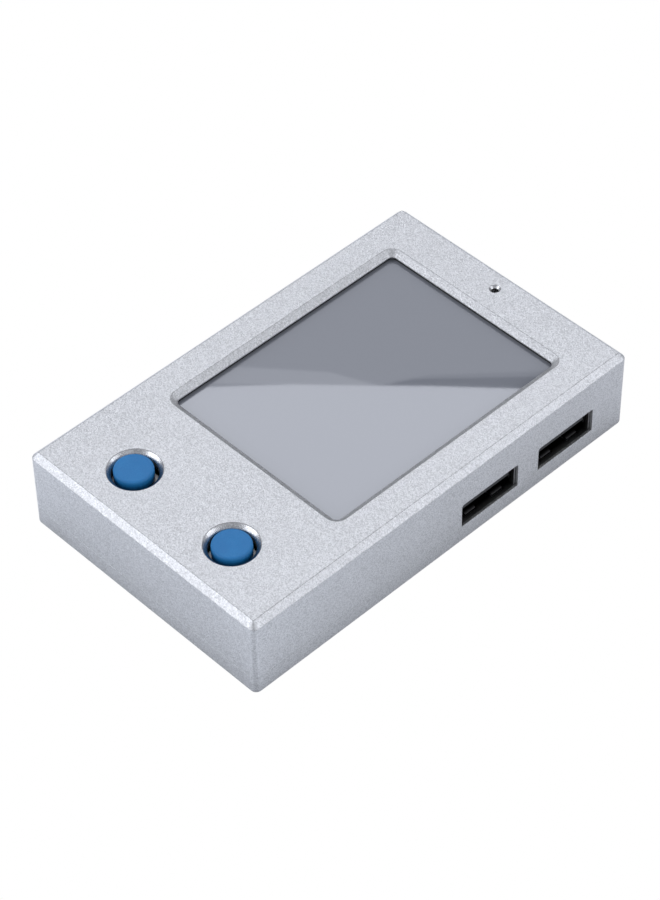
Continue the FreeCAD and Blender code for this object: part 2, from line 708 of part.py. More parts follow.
def make_top_shell():
    """The deep half of the case, milled from solid: roof, walls, pillars and bosses."""
    shell = Milled("top_shell")
    joint = dim.joint_height
    top = dim.case_height
    shell.pad("XY_Plane", joint, RoundedRectangle(case_x, case_y, dim.corner_radius), top - joint)
    shell.chamfer(top, dim.edge_chamfer)
    shell.chamfer(joint, dim.joint_break)
    cavity = RoundedRectangle(cavity_x, cavity_y, dim.cavity_corner)
    shell.pocket("XY_Plane", joint, cavity, roof_underside - joint, forward=True)

    thread = dim.screw_diameter + dim.screw_gap * 2
    cover_thread_top = dim.head_sink + dim.cover_screw_length + dim.hole_spare
    for x, y in CORNERS:
        shell.add_rod(x, y, (joint, roof_underside), dim.pillar_diameter)
    shell.pocket("XY_Plane", joint, Circles([(x, y, thread) for x, y in CORNERS]),
                 cover_thread_top - joint, forward=True)
    board_thread_top = board_underside + dim.board_screw_length + dim.hole_spare
    for x, y in BOSSES:
        shell.add_rod(x, y, (board_top, roof_underside), dim.boss_diameter)
    shell.pocket("XY_Plane", board_top, Circles([(x, y, thread) for x, y in BOSSES]),
                 board_thread_top - board_top, forward=True)

    pocket_x = wider(module_x, dim.pocket_gap)
    pocket_y = wider(module_y, dim.pocket_gap)
    shell.cut_block(pocket_x, pocket_y, (roof_underside, lip_underside))
    window = RoundedRectangle(lip_x, lip_y, dim.window_corner)
    shell.pocket("XY_Plane", top, window, dim.window_lip)
    shell.chamfer(top, dim.bevel_run, dim.bevel_drop, lip_x, lip_y)

    holes = [(x, button_row, dim.button_hole) for x in hole_x]
    shell.pocket("XY_Plane", top, Circles(holes), dim.roof)
    for x, y, diameter in holes:
        shell.chamfer(top, dim.button_hole_sink, None, around(x, diameter), around(y, diameter))
    sink_depth = (dim.indicator_sink - dim.indicator_hole) / 2
    shell.cut_rod(NONE, indicator_y, (roof_underside, top), dim.indicator_hole)
    shell.cut_cone(NONE, indicator_y, downward(top, sink_depth),
                   dim.indicator_hole, dim.indicator_sink)

    for _, middle in OUTPUTS:
        slot = RoundedRectangle(around(middle, dim.slot_width),
                                (slot_z[0] - dim.slot_corner, slot_z[1]), dim.slot_corner)
        relief_y = around(middle, socket_outer_y[1] * 2 + dim.port_gap * 2)
        relief_z = (joint, socket_outer_z[1] + dim.port_gap)
        shell.pocket("YZ_Plane", half_width, slot, dim.wall)
        shell.cut_block((inner_half_width, port_face), relief_y, relief_z)
    hole = RoundedRectangle(
        around(slots_middle, dim.input_width + dim.input_gap * 2),
        wider(input_z, dim.input_gap),
        dim.input_corner + dim.input_gap)
    shell.pocket("YZ_Plane", -half_width, hole, dim.wall, forward=True)
    return shell.body


def make_bottom_cover():
    """The shallow tray that closes the case, with screw posts and locating lips."""
    cover = Milled("bottom_cover")
    joint = dim.joint_height
    floor = dim.floor_thickness
    outline = RoundedRectangle(case_x, case_y, dim.corner_radius)
    cover.pad("XY_Plane", NONE, outline, joint)
    cover.fillet(NONE, dim.foot_rounding)
    cover.chamfer(joint, dim.joint_break)
    cavity = RoundedRectangle(cavity_x, cavity_y, dim.cavity_corner)
    cover.pocket("XY_Plane", joint, cavity, joint - floor)

    for x, y in CORNERS:
        cover.add_rod(x, y, (floor, joint), dim.pillar_diameter)
    pass_diameter = dim.screw_diameter + dim.pass_gap * 2
    holes = Circles([(x, y, pass_diameter) for x, y in CORNERS])
    cover.pocket("XY_Plane", joint, holes, joint)
    for x, y in CORNERS:
        cover.cut_cone(x, y, (NONE, dim.head_sink + dim.cover_head_height),
                       dim.cover_head_diameter + dim.pass_gap * 2, pass_diameter)

    end_reach = pillar_inner_x - dim.lip_end_gap
    side_start = -pillar_inner_y + dim.lip_end_gap
    socket_start = OUTPUTS[0][1] - socket_outer_y[1] - dim.port_gap - dim.lip_end_gap
    input_start = slots_middle - dim.input_width / 2 - dim.input_gap - dim.lip_end_gap
    root = dim.lip_gap + dim.lip_thickness
    lips = (
        ((-end_reach, end_reach), upward(-inner_half_length, root), "y", 0),
        ((-end_reach, end_reach), downward(inner_half_length, root), "y", 1),
        (upward(-inner_half_width, root), (side_start, input_start), "x", 0),
        (downward(inner_half_width, root), (side_start, socket_start), "x", 1),
    )
    for x, y, axis, wall_side in lips:
        cover.add_block(x, y, (floor, joint))
        free = [x, y]
        across = 0 if axis == "x" else 1
        low, high = free[across]
        if wall_side:
            free[across] = (low, high - dim.lip_gap)
        else:
            free[across] = (low + dim.lip_gap, high)
        cover.add_block(free[0], free[1], upward(joint, dim.lip_height))

    for _, middle in OUTPUTS:
        relief_y = around(middle, socket_outer_y[1] * 2 + dim.port_gap * 2)
        relief_z = (socket_outer_z[0] - dim.port_gap, joint)
        cover.cut_block((inner_half_width, port_face), relief_y, relief_z)
    return cover.body


def cross_recess(label, x, y, z):
    """The two crossed slots of a screw's drive, as one tool."""
    long = dim.recess_length
    narrow = dim.recess_width
    arms = [
        block(f"{label}_arm", around(x, long), around(y, narrow), z),
        block(f"{label}_arm", around(x, narrow), around(y, long), z),
    ]
    return fused(f"{label}_recess", arms)


def make_cover_screws():
    """Four countersunk screws that come up through the cover into the pillars."""
    head_bottom = dim.head_sink
    head_top = head_bottom + dim.cover_head_height
    screw_top = head_bottom + dim.cover_screw_length
    screws = []
    for x, y in CORNERS:
        head = cone("cover_screw_head", x, y, (head_bottom, head_top),
                    dim.cover_head_diameter, dim.screw_diameter)
        shank = rod("cover_screw_shank", x, y, (head_top, screw_top), dim.screw_diameter)
        blank = fused("cover_screw_blank", [head, shank])
        recess = cross_recess("cover_screw", x, y, upward(head_bottom, dim.recess_depth))
        screws.append(cut("cover_screw", blank, recess))
    return grouped("cover_screws", screws)


# ---- display --------------------------------------------------------------------------------

def make_display_gasket():
    """Black foam frame that seals the window to the display."""
    z = (film_top, lip_underside)
    outer = block("display_gasket_blank", module_x, module_y, z)
    opening_x = wider(lip_x, dim.gasket_setback)
    opening_y = wider(lip_y, dim.gasket_setback)
    return cut("display_gasket", outer, block("display_gasket_opening", opening_x, opening_y, z))


def make_display_film():
    """Glossy front film behind the window."""
    film_x = wider(lip_x, dim.film_overlap)
    film_y = wider(lip_y, dim.film_overlap)
    return block("display_film", film_x, film_y, (glass_top, film_top))


def make_display_glass():
    return block("display_glass", glass_x, glass_y, (glass_underside, glass_top))


def make_display_backlight():
    return block("display_backlight", glass_x, glass_y, (tray_floor, glass_underside))


def make_display_tray():
    """Sheet-steel tray round the glass and backlight, notched for the ribbon."""
    tray = Milled("display_tray")
    rim_top = glass_top - dim.tray_drop
    tray.add_block(module_x, module_y, (tray_underside, rim_top))
    tray.cut_block(wider(module_x, -dim.tray_sheet), wider(module_y, -dim.tray_sheet),
                   (tray_floor, rim_top))
    notch_x = around(NONE, dim.ribbon_width + dim.ribbon_notch_gap * 2)
    tray.cut_block(notch_x, upward(module_y[0], dim.tray_sheet), (glass_underside, rim_top))
    return tray.body


def make_display_carrier():
    """Moulded frame that stands on the board, holds the display and pegs into the board."""
    name = "display_carrier"
    inner_x = wider(module_x, dim.carrier_gap)
    inner_y = wider(module_y, dim.carrier_gap)
    rim_top = tray_underside + dim.carrier_grip
    frame = block(f"{name}_frame", wider(inner_x, dim.carrier_rim), wider(inner_y, dim.carrier_rim),
                  (board_top, rim_top))
    seat = block(f"{name}_seat", inner_x, inner_y, (tray_underside, rim_top))
    opening = block(f"{name}_opening", wider(module_x, -dim.carrier_ledge),
                    wider(module_y, -dim.carrier_ledge), (board_top, tray_underside))
    pin_reach = socket_outer_y[1] + dim.pin_relief
    relief = block(
        f"{name}_relief",
        (tail_x - dim.contact_sheet / 2 - dim.pin_relief,
         socket_peg_x + dim.socket_peg_width / 2 + dim.pin_relief),
        (OUTPUTS[0][1] - pin_reach, OUTPUTS[1][1] + pin_reach),
        (board_top, pin_top + dim.pin_relief))
    carved = cut(f"{name}_carved", frame, fused(f"{name}_hollow", [seat, opening, relief]))
    pegs = [rod(f"{name}_peg", x, y, (board_underside + dim.peg_short, board_top), dim.peg_diameter)
            for x, y in PEGS]
    return fused(name, [carved] + pegs)


class RibbonPath:
    """The ribbon's middle line from the side: out of the glass, down in an S, into its connector."""

    def draw(self, sketch):
        start = Vector(glass_y[0].value, ribbon_middle.value, 0)
        fall = Vector(ribbon_fall.value, ribbon_middle.value, 0)
        landing = Vector(ribbon_landing.value, connector_middle.value, 0)
        end = Vector(ribbon_end.value, connector_middle.value, 0)
        bend = ribbon_bend.value
        upper_centre = Vector(fall.x, fall.y - bend, 0)
        lower_centre = Vector(landing.x, landing.y + bend, 0)
        normal = Vector(0, 0, 1)
        upper = Part.Circle(upper_centre, normal, bend)
        lower = Part.Circle(lower_centre, normal, bend)
        sketch.addGeometry(Part.LineSegment(start, fall), False)
        sketch.addGeometry(Part.ArcOfCircle(upper, QUARTER_TURN, QUARTER_TURN * 2), False)
        sketch.addGeometry(Part.ArcOfCircle(lower, -QUARTER_TURN, 0), False)
        sketch.addGeometry(Part.LineSegment(landing, end), False)
        for joint in ((0, 2, 1, 1), (1, 2, 2, 2), (2, 1, 3, 1)):
            sketch.addConstraint(Sketcher.Constraint("Tangent", *joint))
        sketch.addConstraint(Sketcher.Constraint("Horizontal", 0))
        sketch.addConstraint(Sketcher.Constraint("Horizontal", 3))
        sketch.addConstraint(Sketcher.Constraint("Equal", 1, 2))
        constrain(sketch, "start", glass_y[0], "DistanceX", -1, 1, 0, 1)
        constrain(sketch, "rise", ribbon_middle, "DistanceY", -1, 1, 0, 1)
        constrain(sketch, "fall", ribbon_fall, "DistanceX", -1, 1, 0, 2)
        constrain(sketch, "bend", ribbon_bend, "Radius", 1)
        constrain(sketch, "landing", connector_middle, "DistanceY", -1, 1, 3, 2)
        constrain(sketch, "end", ribbon_end, "DistanceX", -1, 1, 3, 2)


def make_display_ribbon():
    """Flexible ribbon from the glass down to the board."""
    ribbon = Milled("display_ribbon")
    section = Outline([
        (-dim.ribbon_width / 2, ribbon_middle - dim.ribbon_thickness / 2),
        (dim.ribbon_width / 2, ribbon_middle - dim.ribbon_thickness / 2),
        (dim.ribbon_width / 2, ribbon_middle + dim.ribbon_thickness / 2),
        (-dim.ribbon_width / 2, ribbon_middle + dim.ribbon_thickness / 2),
    ])
    section_sketch = ribbon.sketch("XZ_Plane", -glass_y[0], section)
    path_sketch = ribbon.sketch("YZ_Plane", NONE, RibbonPath())
    ribbon.sweep(section_sketch, path_sketch)
    return ribbon.body


def make_ribbon_connector():
    """Flat connector on the board that grips the ribbon's end."""
    face = ribbon_end + dim.connector_grip
    housing = block("ribbon_connector_housing", around(NONE, dim.connector_width),
                    downward(face, dim.connector_depth), upward(board_top, dim.connector_height))
    mouth_x = around(NONE, dim.ribbon_width + dim.connector_gap * 2)
    mouth_y = downward(face, dim.connector_grip + dim.connector_gap)
    mouth_z = around(connector_middle, dim.ribbon_thickness + dim.connector_gap * 2)
    return cut("ribbon_connector", housing, block("ribbon_mouth", mouth_x, mouth_y, mouth_z))


# ---- board ----------------------------------------------------------------------------------

def make_circuit_board():
    """The board, notched round the pillars and drilled for screws, pins and pegs."""
    board = Milled("circuit_board")
    board_x = wider(cavity_x, -dim.board_gap)
    board_y = wider(cavity_y, -dim.board_gap)
    z = (board_underside, board_top)
    board.add_block(board_x, board_y, z)
    notch_x = (pillar_inner_x - dim.notch_gap, board_x[1])
    notch_y = (pillar_inner_y - dim.notch_gap, board_y[1])
    for x in (notch_x, mirrored(notch_x)):
        for y in (notch_y, mirrored(notch_y)):
            board.cut_block(x, y, z)

    screw_hole = dim.screw_diameter + dim.pass_gap * 2
    peg_hole = dim.peg_diameter + dim.peg_gap * 2
    pin_hole = dim.terminal_width + dim.solder_gap * 2
    tail_hole = dim.contact_width + dim.solder_gap * 2
    socket_peg_hole = dim.socket_peg_width + dim.solder_gap * 2
    holes = [(x, y, screw_hole) for x, y in BOSSES]
    holes += [(x, y, peg_hole) for x, y in PEGS]
    for _, x in BUTTONS:
        for side in (-terminal_x, terminal_x):
            for y in around(button_row, dim.terminal_spacing):
                holes.append((x + side, y, pin_hole))
    for _, middle in OUTPUTS:
        for offset in CONTACT_OFFSETS:
            holes.append((tail_x, middle + offset, tail_hole))
        for y in wider(socket_inner_y, dim.socket_sheet / 2):
            holes.append((socket_peg_x, middle + y, socket_peg_hole))
    board.pocket("XY_Plane", board_top, Circles(holes), dim.board_thickness)
    return board.body


def make_board_screws():
    """Four pan-head screws that hang the board from the bosses."""
    screws = []
    for x, y in BOSSES:
        head_z = downward(board_underside, dim.board_head_height)
        shank_z = upward(board_underside, dim.board_screw_length)
        head = rod("board_screw_head", x, y, head_z, dim.board_head_diameter)
        shank = rod("board_screw_shank", x, y, shank_z, dim.screw_diameter)
        blank = fused("board_screw_blank", [head, shank])
        recess = cross_recess("board_screw", x, y, upward(head_z[0], dim.recess_depth))
        screws.append(cut("board_screw", blank, recess))
    return grouped("board_screws", screws)


def on_underside(label, x, y, length, width, height):
    """A flat component below the board, by its middle and its size along X, Y and Z."""
    return block(label, around(x, length), around(y, width), downward(board_underside, height))


def make_board_components():
    """What the underside of the board carries, and the light on its top."""
    row = dim.controller_from_end - half_length
    controller_x = dim.controller_from_side - half_width
    controller_reach = dim.controller_size / 2
    crystal_x = controller_x - controller_reach - dim.crystal_gap - dim.crystal_length / 2
    regulator_x = controller_x + controller_reach + dim.regulator_gap + dim.regulator_length / 2
    inductor_x = regulator_x + dim.regulator_length / 2 + dim.inductor_gap + dim.inductor_size / 2
    shunt_x = socket_rear - dim.shunt_from_socket
    load_switch_x = socket_rear - dim.load_switch_gap - dim.load_switch_size / 2
    bulk_x = socket_rear - dim.bulk_from_socket
    chip_x = controller_x + controller_reach + dim.regulator_gap / 2
    nodes = [
        block("indicator_light", around(NONE, dim.indicator_length),
              around(indicator_y, dim.indicator_width), upward(board_top, dim.indicator_height)),
        on_underside("microcontroller", controller_x, row,
                     dim.controller_size, dim.controller_size, dim.controller_height),
        on_underside("clock_crystal", crystal_x, row,
                     dim.crystal_length, dim.crystal_width, dim.crystal_height),
        on_underside("voltage_regulator", regulator_x, row,
                     dim.regulator_length, dim.regulator_width, dim.regulator_height),
        on_underside("current_shunt", shunt_x, slots_middle,
                     dim.shunt_width, dim.shunt_length, dim.shunt_height),
        make_power_inductor(inductor_x, row),
    ]
    switches = []
    bulks = []
    for _, middle in OUTPUTS:
        switches.append(on_underside("load_switch", load_switch_x, middle, dim.load_switch_size,
                                     dim.load_switch_size, dim.load_switch_height))
        bulks.append(rod("bulk_capacitor", bulk_x, middle,
                         downward(board_underside, dim.bulk_height), dim.bulk_diameter))
    chips = []
    for number in range(CHIP_COUNT):
        y = row + dim.chip_pitch * (number - (CHIP_COUNT - 1) / 2)
        chips.append(on_underside("ceramic_capacitor", chip_x, y,
                                  dim.chip_length, dim.chip_width, dim.chip_height))
    nodes.append(grouped("load_switches", switches))
    nodes.append(grouped("bulk_capacitors", bulks))
    nodes.append(grouped("ceramic_capacitors", chips))
    return nodes


def make_power_inductor(x, y):
    """Square inductor with its four corners cut."""
    half = dim.inductor_size / 2
    cut_half = half - dim.inductor_corner
    inductor = Milled("power_inductor")
    corners = (
        (cut_half, -half), (half, -cut_half), (half, cut_half), (cut_half, half),
        (-cut_half, half), (-half, cut_half), (-half, -cut_half), (-cut_half, -half),
    )
    outline = Outline([(x + across, y + along) for across, along in corners])
    level = board_underside - dim.inductor_height
    inductor.pad("XY_Plane", level, outline, dim.inductor_height)
    return inductor.body


# ---- buttons --------------------------------------------------------------------------------

def make_button_cap(side, x):
    """Moulded cap, pushed onto the switch's plunger."""
    cap = Milled(f"{side}_button_cap")
    cap.add_rod(x, button_row, (cap_underside, cap_top), dim.cap_diameter)
    cap.fillet(cap_top, dim.cap_rim)
    cap.cut_rod(x, button_row, (cap_underside, plunger_top),
                dim.plunger_diameter + dim.fit_gap * 2)
    return cap.body


def make_switch_plunger(side, x):
    """Plunger: stem under the cap, collar under the metal cover, foot on the dome."""
    y = button_row
    name = f"{side}_switch_plunger"
    stem = rod(f"{name}_stem", x, y, (flange_top, plunger_top), dim.plunger_diameter)
    collar = rod(f"{name}_collar", x, y, (flange_underside, flange_top), dim.flange_diameter)
    foot = rod(f"{name}_foot", x, y, (foot_underside, flange_underside), dim.foot_diameter)
    return fused(name, [stem, collar, foot])


class DomeSection:
    """Half section of a thin spherical dome that stands on its rim."""

    def draw(self, sketch):
        rim = dim.dome_diameter / 2
        height = dim.dome_height
        sphere_value = (rim.value ** 2 + height.value ** 2) / (2 * height.value)
        sphere = Length(sphere_value,
                        f"(({rim.text})^2 + ({height.text})^2) / (2 * {height.text})")
        inside = sphere - dim.dome_sheet
        drop = height.value - sphere.value
        centre = Vector(0, drop, 0)
        normal = Vector(0, 0, 1)
        for radius in (sphere.value, inside.value):
            reach = (radius ** 2 - drop ** 2) ** 0.5
            start = FreeCAD.Vector(reach, -drop, 0).getAngle(Vector(1, 0, 0))
            arc = Part.ArcOfCircle(Part.Circle(centre, normal, radius), start, QUARTER_TURN)
            sketch.addGeometry(arc, False)
        outer = sketch.Geometry[0]
        inner = sketch.Geometry[1]
        sketch.addGeometry(Part.LineSegment(inner.StartPoint, outer.StartPoint), False)
        sketch.addGeometry(Part.LineSegment(outer.EndPoint, inner.EndPoint), False)
        for meeting in ((2, 1, 1, 1), (2, 2, 0, 1), (3, 1, 0, 2), (3, 2, 1, 2), (0, 3, 1, 3)):
            sketch.addConstraint(Sketcher.Constraint("Coincident", *meeting))
        sketch.addConstraint(Sketcher.Constraint("PointOnObject", 0, 3, -2))
        sketch.addConstraint(Sketcher.Constraint("PointOnObject", 0, 2, -2))
        sketch.addConstraint(Sketcher.Constraint("PointOnObject", 1, 2, -2))
        sketch.addConstraint(Sketcher.Constraint("PointOnObject", 0, 1, -1))
        sketch.addConstraint(Sketcher.Constraint("PointOnObject", 1, 1, -1))
        constrain(sketch, "sphere", sphere, "Radius", 0)
        constrain(sketch, "inside", inside, "Radius", 1)
        constrain(sketch, "height", height, "DistanceY", -1, 1, 0, 2)


def make_switch_dome(side, x):
    """Snap dome of thin spring metal, on the floor of the switch's well."""
    dome = Milled(f"{side}_switch_dome")
    dome.revolve(dome.sketch("XZ_Plane", NONE, DomeSection()))
    set_corner(dome.body, x, button_row, well_floor)
    return dome.body


def make_switch(side, x):
    """The fixed pieces of one tact switch: base, metal cover and terminals."""
    y = button_row
    size = dim.switch_size
    base_name = f"{side}_switch_base"
    base_block = block(f"{base_name}_block", around(x, size), around(y, size),
                       (board_top, switch_sheet_underside))
    well = rod(f"{base_name}_well", x, y, (well_floor, switch_sheet_underside), dim.switch_bore)
    base = cut(base_name, base_block, well)

    cover_name = f"{side}_switch_cover"
    plate = block(f"{cover_name}_plate", around(x, size), around(y, size + dim.switch_sheet * 2),
                  (switch_sheet_underside, switch_top))
    clips = []
    for clip_y in (downward(y - size / 2, dim.switch_sheet), upward(y + size / 2, dim.switch_sheet)):
        clips.append(block(f"{cover_name}_clip", around(x, dim.switch_clip_width), clip_y,
                           downward(switch_top, dim.switch_clip)))
    hole = rod(f"{cover_name}_hole", x, y, (switch_sheet_underside, switch_top),
               dim.plunger_diameter + dim.plunger_gap * 2)
    cover = cut(cover_name, fused(f"{cover_name}_blank", [plate] + clips), hole)

    terminals = []
    for terminal_side in (-terminal_x, terminal_x):
        for terminal_y in around(y, dim.terminal_spacing):
            terminals.append(block(
                f"{side}_switch_terminal",
                around(x + terminal_side, dim.terminal_sheet),
                around(terminal_y, dim.terminal_width),
                (board_underside - dim.terminal_tail, board_top + dim.terminal_rise)))
    return [base, cover, grouped(f"{side}_switch_terminals", terminals)]


def make_button(side, x):
    """Everything of one button, from the cap down to the terminals."""
    moving = [make_button_cap(side, x), make_switch_plunger(side, x), make_switch_dome(side, x)]
    return moving + make_switch(side, x)


# ---- output sockets -------------------------------------------------------------------------

def leaf_profile(root, knee, tip, wall_face, outward):
    """Side view of a spring leaf: it leaves its wall, bends in, and turns out at the nose."""
    sheet = dim.socket_sheet * outward
    bend = dim.leaf_bend * outward
    inner = (wall_face, wall_face - bend, wall_face - bend / 2)
    stations = (root, knee, tip)
    there = list(zip(stations, inner))
    back = [(station, face + sheet) for station, face in reversed(there)]
    return Outline(there + back)


def make_output_shell(name):
    """Sheet-metal shell of an output socket, open at the mouth, with four spring leaves."""
    shell = Milled(f"{name}_output_shell")
    shell.add_block((socket_rear, socket_mouth), socket_outer_y, socket_outer_z)
    shell.cut_block((socket_rear + dim.socket_sheet, socket_mouth), socket_inner_y, socket_inner_z)

    leaf_tip = socket_mouth - dim.leaf_setback
    leaf_knee = leaf_tip - dim.leaf_nose
    window_start = leaf_tip - dim.leaf_length
    leaf_root = window_start - dim.socket_sheet
    window_x_limits = (window_start, leaf_tip + dim.leaf_gap)
    leaf_z = around(socket_middle, dim.leaf_width)
    for outward, sheet_y in ((1, (socket_inner_y[1], socket_outer_y[1])),
                             (-1, (socket_outer_y[0], socket_inner_y[0]))):
        wall_face = socket_inner_y[1] * outward
        shell.cut_block(window_x_limits, sheet_y, wider(leaf_z, dim.leaf_gap))
        leaf = leaf_profile(leaf_root, leaf_knee, leaf_tip, wall_face, outward)
        shell.pad("XY_Plane", leaf_z[0], leaf, dim.leaf_width)
    for offset in (-dim.floor_leaf_offset, dim.floor_leaf_offset):
        leaf_y = around(offset, dim.leaf_width)
        shell.cut_block(window_x_limits, wider(leaf_y, dim.leaf_gap),
                        (socket_outer_z[0], socket_inner_z[0]))
        leaf = leaf_profile(leaf_root, leaf_knee, leaf_tip, socket_inner_z[0], -1)
        shell.pad("XZ_Plane", -offset, leaf, dim.leaf_width, both_ways=True)

    tail_window_y = around(NONE, dim.outer_contact_offset * 2 + dim.contact_width
                           + dim.tail_window_gap * 2)
    shell.cut_block((socket_rear, tail_x + dim.contact_sheet / 2 + dim.tail_window_gap),
                    tail_window_y, (socket_inner_z[1], socket_outer_z[1]))
    for peg_y in ((socket_inner_y[1], socket_outer_y[1]), (socket_outer_y[0], socket_inner_y[0])):
        shell.add_block(around(socket_peg_x, dim.socket_peg_width), peg_y,
                        (socket_outer_z[1], pin_top))
    return shell.body


def make_output_socket(name, middle):
    """One output socket: shell, insulator with its tongue, and four contacts."""
    contacts = []
    for offset in CONTACT_OFFSETS:
        contact_y = around(offset, dim.contact_width)
        strip = block(f"{name}_contact_strip", (tail_x, tongue_tip - dim.contact_short),
                      contact_y, upward(tongue_underside, dim.contact_sheet))
        tail = block(f"{name}_contact_tail", around(tail_x, dim.contact_sheet),
                     contact_y, (tongue_underside, pin_top))
        contacts.append(fused(f"{name}_contact", [strip, tail]))
    block_x = upward(socket_rear + dim.socket_sheet + dim.block_gap, dim.block_length)
    body = block(f"{name}_insulator_block", block_x, wider(socket_inner_y, -dim.block_gap),
                 wider(socket_inner_z, -dim.block_gap))
    tongue = block(f"{name}_insulator_tongue", (block_x[0], tongue_tip),
                   around(NONE, dim.tongue_width), upward(tongue_underside, dim.tongue_thickness))
    blank = fused(f"{name}_insulator_blank", [body, tongue])
    channels = grouped(f"{name}_insulator_channels", contacts)
    nodes = [
        make_output_shell(name),
        cut(f"{name}_output_insulator", blank, channels),
        grouped(f"{name}_output_contacts", contacts),
    ]
    for node in nodes:
        set_corner(node, NONE, middle, NONE)
    return nodes


# ---- input socket ---------------------------------------------------------------------------

def make_input_socket():
    """The input socket in the other long side: shell, insulator with its tongue, contacts."""
    sheet_gap = dim.input_sheet + dim.block_gap
    shell = Milled("input_shell")
    outer = RoundedRectangle(input_y, input_z, dim.input_corner)
    inner = RoundedRectangle(wider(input_y, -dim.input_sheet), wider(input_z, -dim.input_sheet),
                             dim.input_corner - dim.input_sheet)
    shell.pad("YZ_Plane", input_mouth, outer, dim.input_length)
    shell.pocket("YZ_Plane", input_mouth, inner, dim.input_length, forward=True)

    insulator = Milled("input_insulator_blank")
    block_start = input_rear - dim.input_block_length
    plug = RoundedRectangle(wider(input_y, -sheet_gap), wider(input_z, -sheet_gap),
                            dim.input_corner - sheet_gap)
    insulator.pad("YZ_Plane", block_start, plug, dim.input_block_length)
    insulator.add_block((input_mouth + dim.input_tongue_setback, block_start),
                        around(NONE, dim.input_tongue_width),
                        downward(input_tongue_top, dim.input_tongue_thickness))

    strip_start = input_mouth + dim.input_tongue_setback + dim.contact_short
    contacts = []
    for number in range(INPUT_CONTACT_COUNT):
        offset = dim.input_contact_pitch * (number - (INPUT_CONTACT_COUNT - 1) / 2)
        contact_y = around(offset, dim.input_contact_width)
        strip = block("input_contact_strip", (strip_start, input_rear + dim.input_contact_sheet),
                      contact_y, upward(input_tongue_top, dim.input_contact_sheet))
        riser = block("input_contact_riser", upward(input_rear, dim.input_contact_sheet),
                      contact_y, (input_tongue_top, board_underside))
        contacts.append(fused("input_contact", [strip, riser]))
    channels = grouped("input_insulator_channels", contacts)
    nodes = [
        shell.body,
        cut("input_insulator", insulator.body, channels),
        grouped("input_contacts", contacts),
    ]
    for node in nodes:
        set_corner(node, NONE, slots_middle, NONE)
    return nodes


# ---- assembly -------------------------------------------------------------------------------

def make_nodes():
    """Every piece of the tester, as document objects whose labels name their files."""
    nodes = [
        make_top_shell(),
        make_bottom_cover(),
        make_cover_screws(),
        make_display_gasket(),
        make_display_film(),
        make_display_glass(),
        make_display_backlight(),
        make_display_tray(),
        make_display_carrier(),
        make_display_ribbon(),
        make_ribbon_connector(),
        make_circuit_board(),
        make_board_screws(),
    ]
    nodes += make_board_components()
    for side, x in BUTTONS:
        nodes += make_button(side, x)
    for name, middle in OUTPUTS:
        nodes += make_output_socket(name, middle)
    nodes += make_input_socket()
    return nodes


def check(nodes):
    """Stop if any feature failed or any piece has no sound shape."""
    for item in doc.Objects:
        if "Invalid" in item.State or "Error" in item.State:
            raise RuntimeError(f"{item.Label} failed: {item.State}")
    for node in nodes:
        if node.Shape.isNull() or not node.Shape.isValid() or not node.Shape.Solids:
            raise RuntimeError(f"{node.Label} has no sound shape")


def export(nodes):
    """Write each piece to its own file."""
    os.makedirs("parts", exist_ok=True)
    for node in nodes:
        node.Shape.exportStep(f"parts/{node.Label}.step")


nodes = make_nodes()
doc.recompute()
check(nodes)
export(nodes)
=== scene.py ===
"""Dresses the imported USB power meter: finishes, broken edges, repeated small parts and the studio.

Every length is in metres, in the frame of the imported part. The case lies on its back: the screen
faces up (+Z), the two buttons are at the -Y end and the two outlets are in the +X side.
"""

from __future__ import annotations

import json
import logging
import math
from collections.abc import Callable, Sequence
from dataclasses import dataclass
from enum import Enum
from functools import cache

import bmesh
import bpy
from mathutils import Matrix, Vector

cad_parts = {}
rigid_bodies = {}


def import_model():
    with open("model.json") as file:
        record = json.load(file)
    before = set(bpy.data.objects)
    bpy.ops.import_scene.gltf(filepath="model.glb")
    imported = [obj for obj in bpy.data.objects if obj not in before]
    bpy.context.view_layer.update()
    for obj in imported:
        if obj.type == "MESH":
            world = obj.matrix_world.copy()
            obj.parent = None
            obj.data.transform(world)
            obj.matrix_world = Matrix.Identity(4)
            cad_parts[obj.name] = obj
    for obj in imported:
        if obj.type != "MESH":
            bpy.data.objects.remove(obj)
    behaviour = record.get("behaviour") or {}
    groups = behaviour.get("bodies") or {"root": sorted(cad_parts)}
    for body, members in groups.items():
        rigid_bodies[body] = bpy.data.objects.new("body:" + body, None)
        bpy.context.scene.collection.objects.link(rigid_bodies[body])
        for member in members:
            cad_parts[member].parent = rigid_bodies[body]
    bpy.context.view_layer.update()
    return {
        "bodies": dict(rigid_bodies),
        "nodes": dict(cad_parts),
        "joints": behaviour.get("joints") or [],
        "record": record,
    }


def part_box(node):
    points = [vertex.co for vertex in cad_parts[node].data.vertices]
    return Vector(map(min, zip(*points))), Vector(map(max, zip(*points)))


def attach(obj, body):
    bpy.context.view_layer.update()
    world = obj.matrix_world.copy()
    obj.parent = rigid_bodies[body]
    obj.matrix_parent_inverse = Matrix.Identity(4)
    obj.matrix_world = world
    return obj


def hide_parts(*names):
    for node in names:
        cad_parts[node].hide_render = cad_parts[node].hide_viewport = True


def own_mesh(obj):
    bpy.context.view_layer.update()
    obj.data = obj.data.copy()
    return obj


LOG = logging.getLogger("usb_power_meter")
MM = 0.001

# Corners this near are one corner, and heights this near are one height. Faces at less than the
# flat angle are one face, and an edge above the sharp angle is an edge to the eye.
WELD_DISTANCE = 1e-6
SAME_LEVEL = 5e-6
FLAT_ANGLE = math.radians(0.2)
SHARP_ANGLE = math.radians(28.0)
SHADING_WEIGHT = 60

Colour = tuple[float, float, float]
Place = tuple[float, float, float]


class Body(Enum):
    """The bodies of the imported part."""

    CASE = "case"
    LEFT = "left_button"
    RIGHT = "right_button"


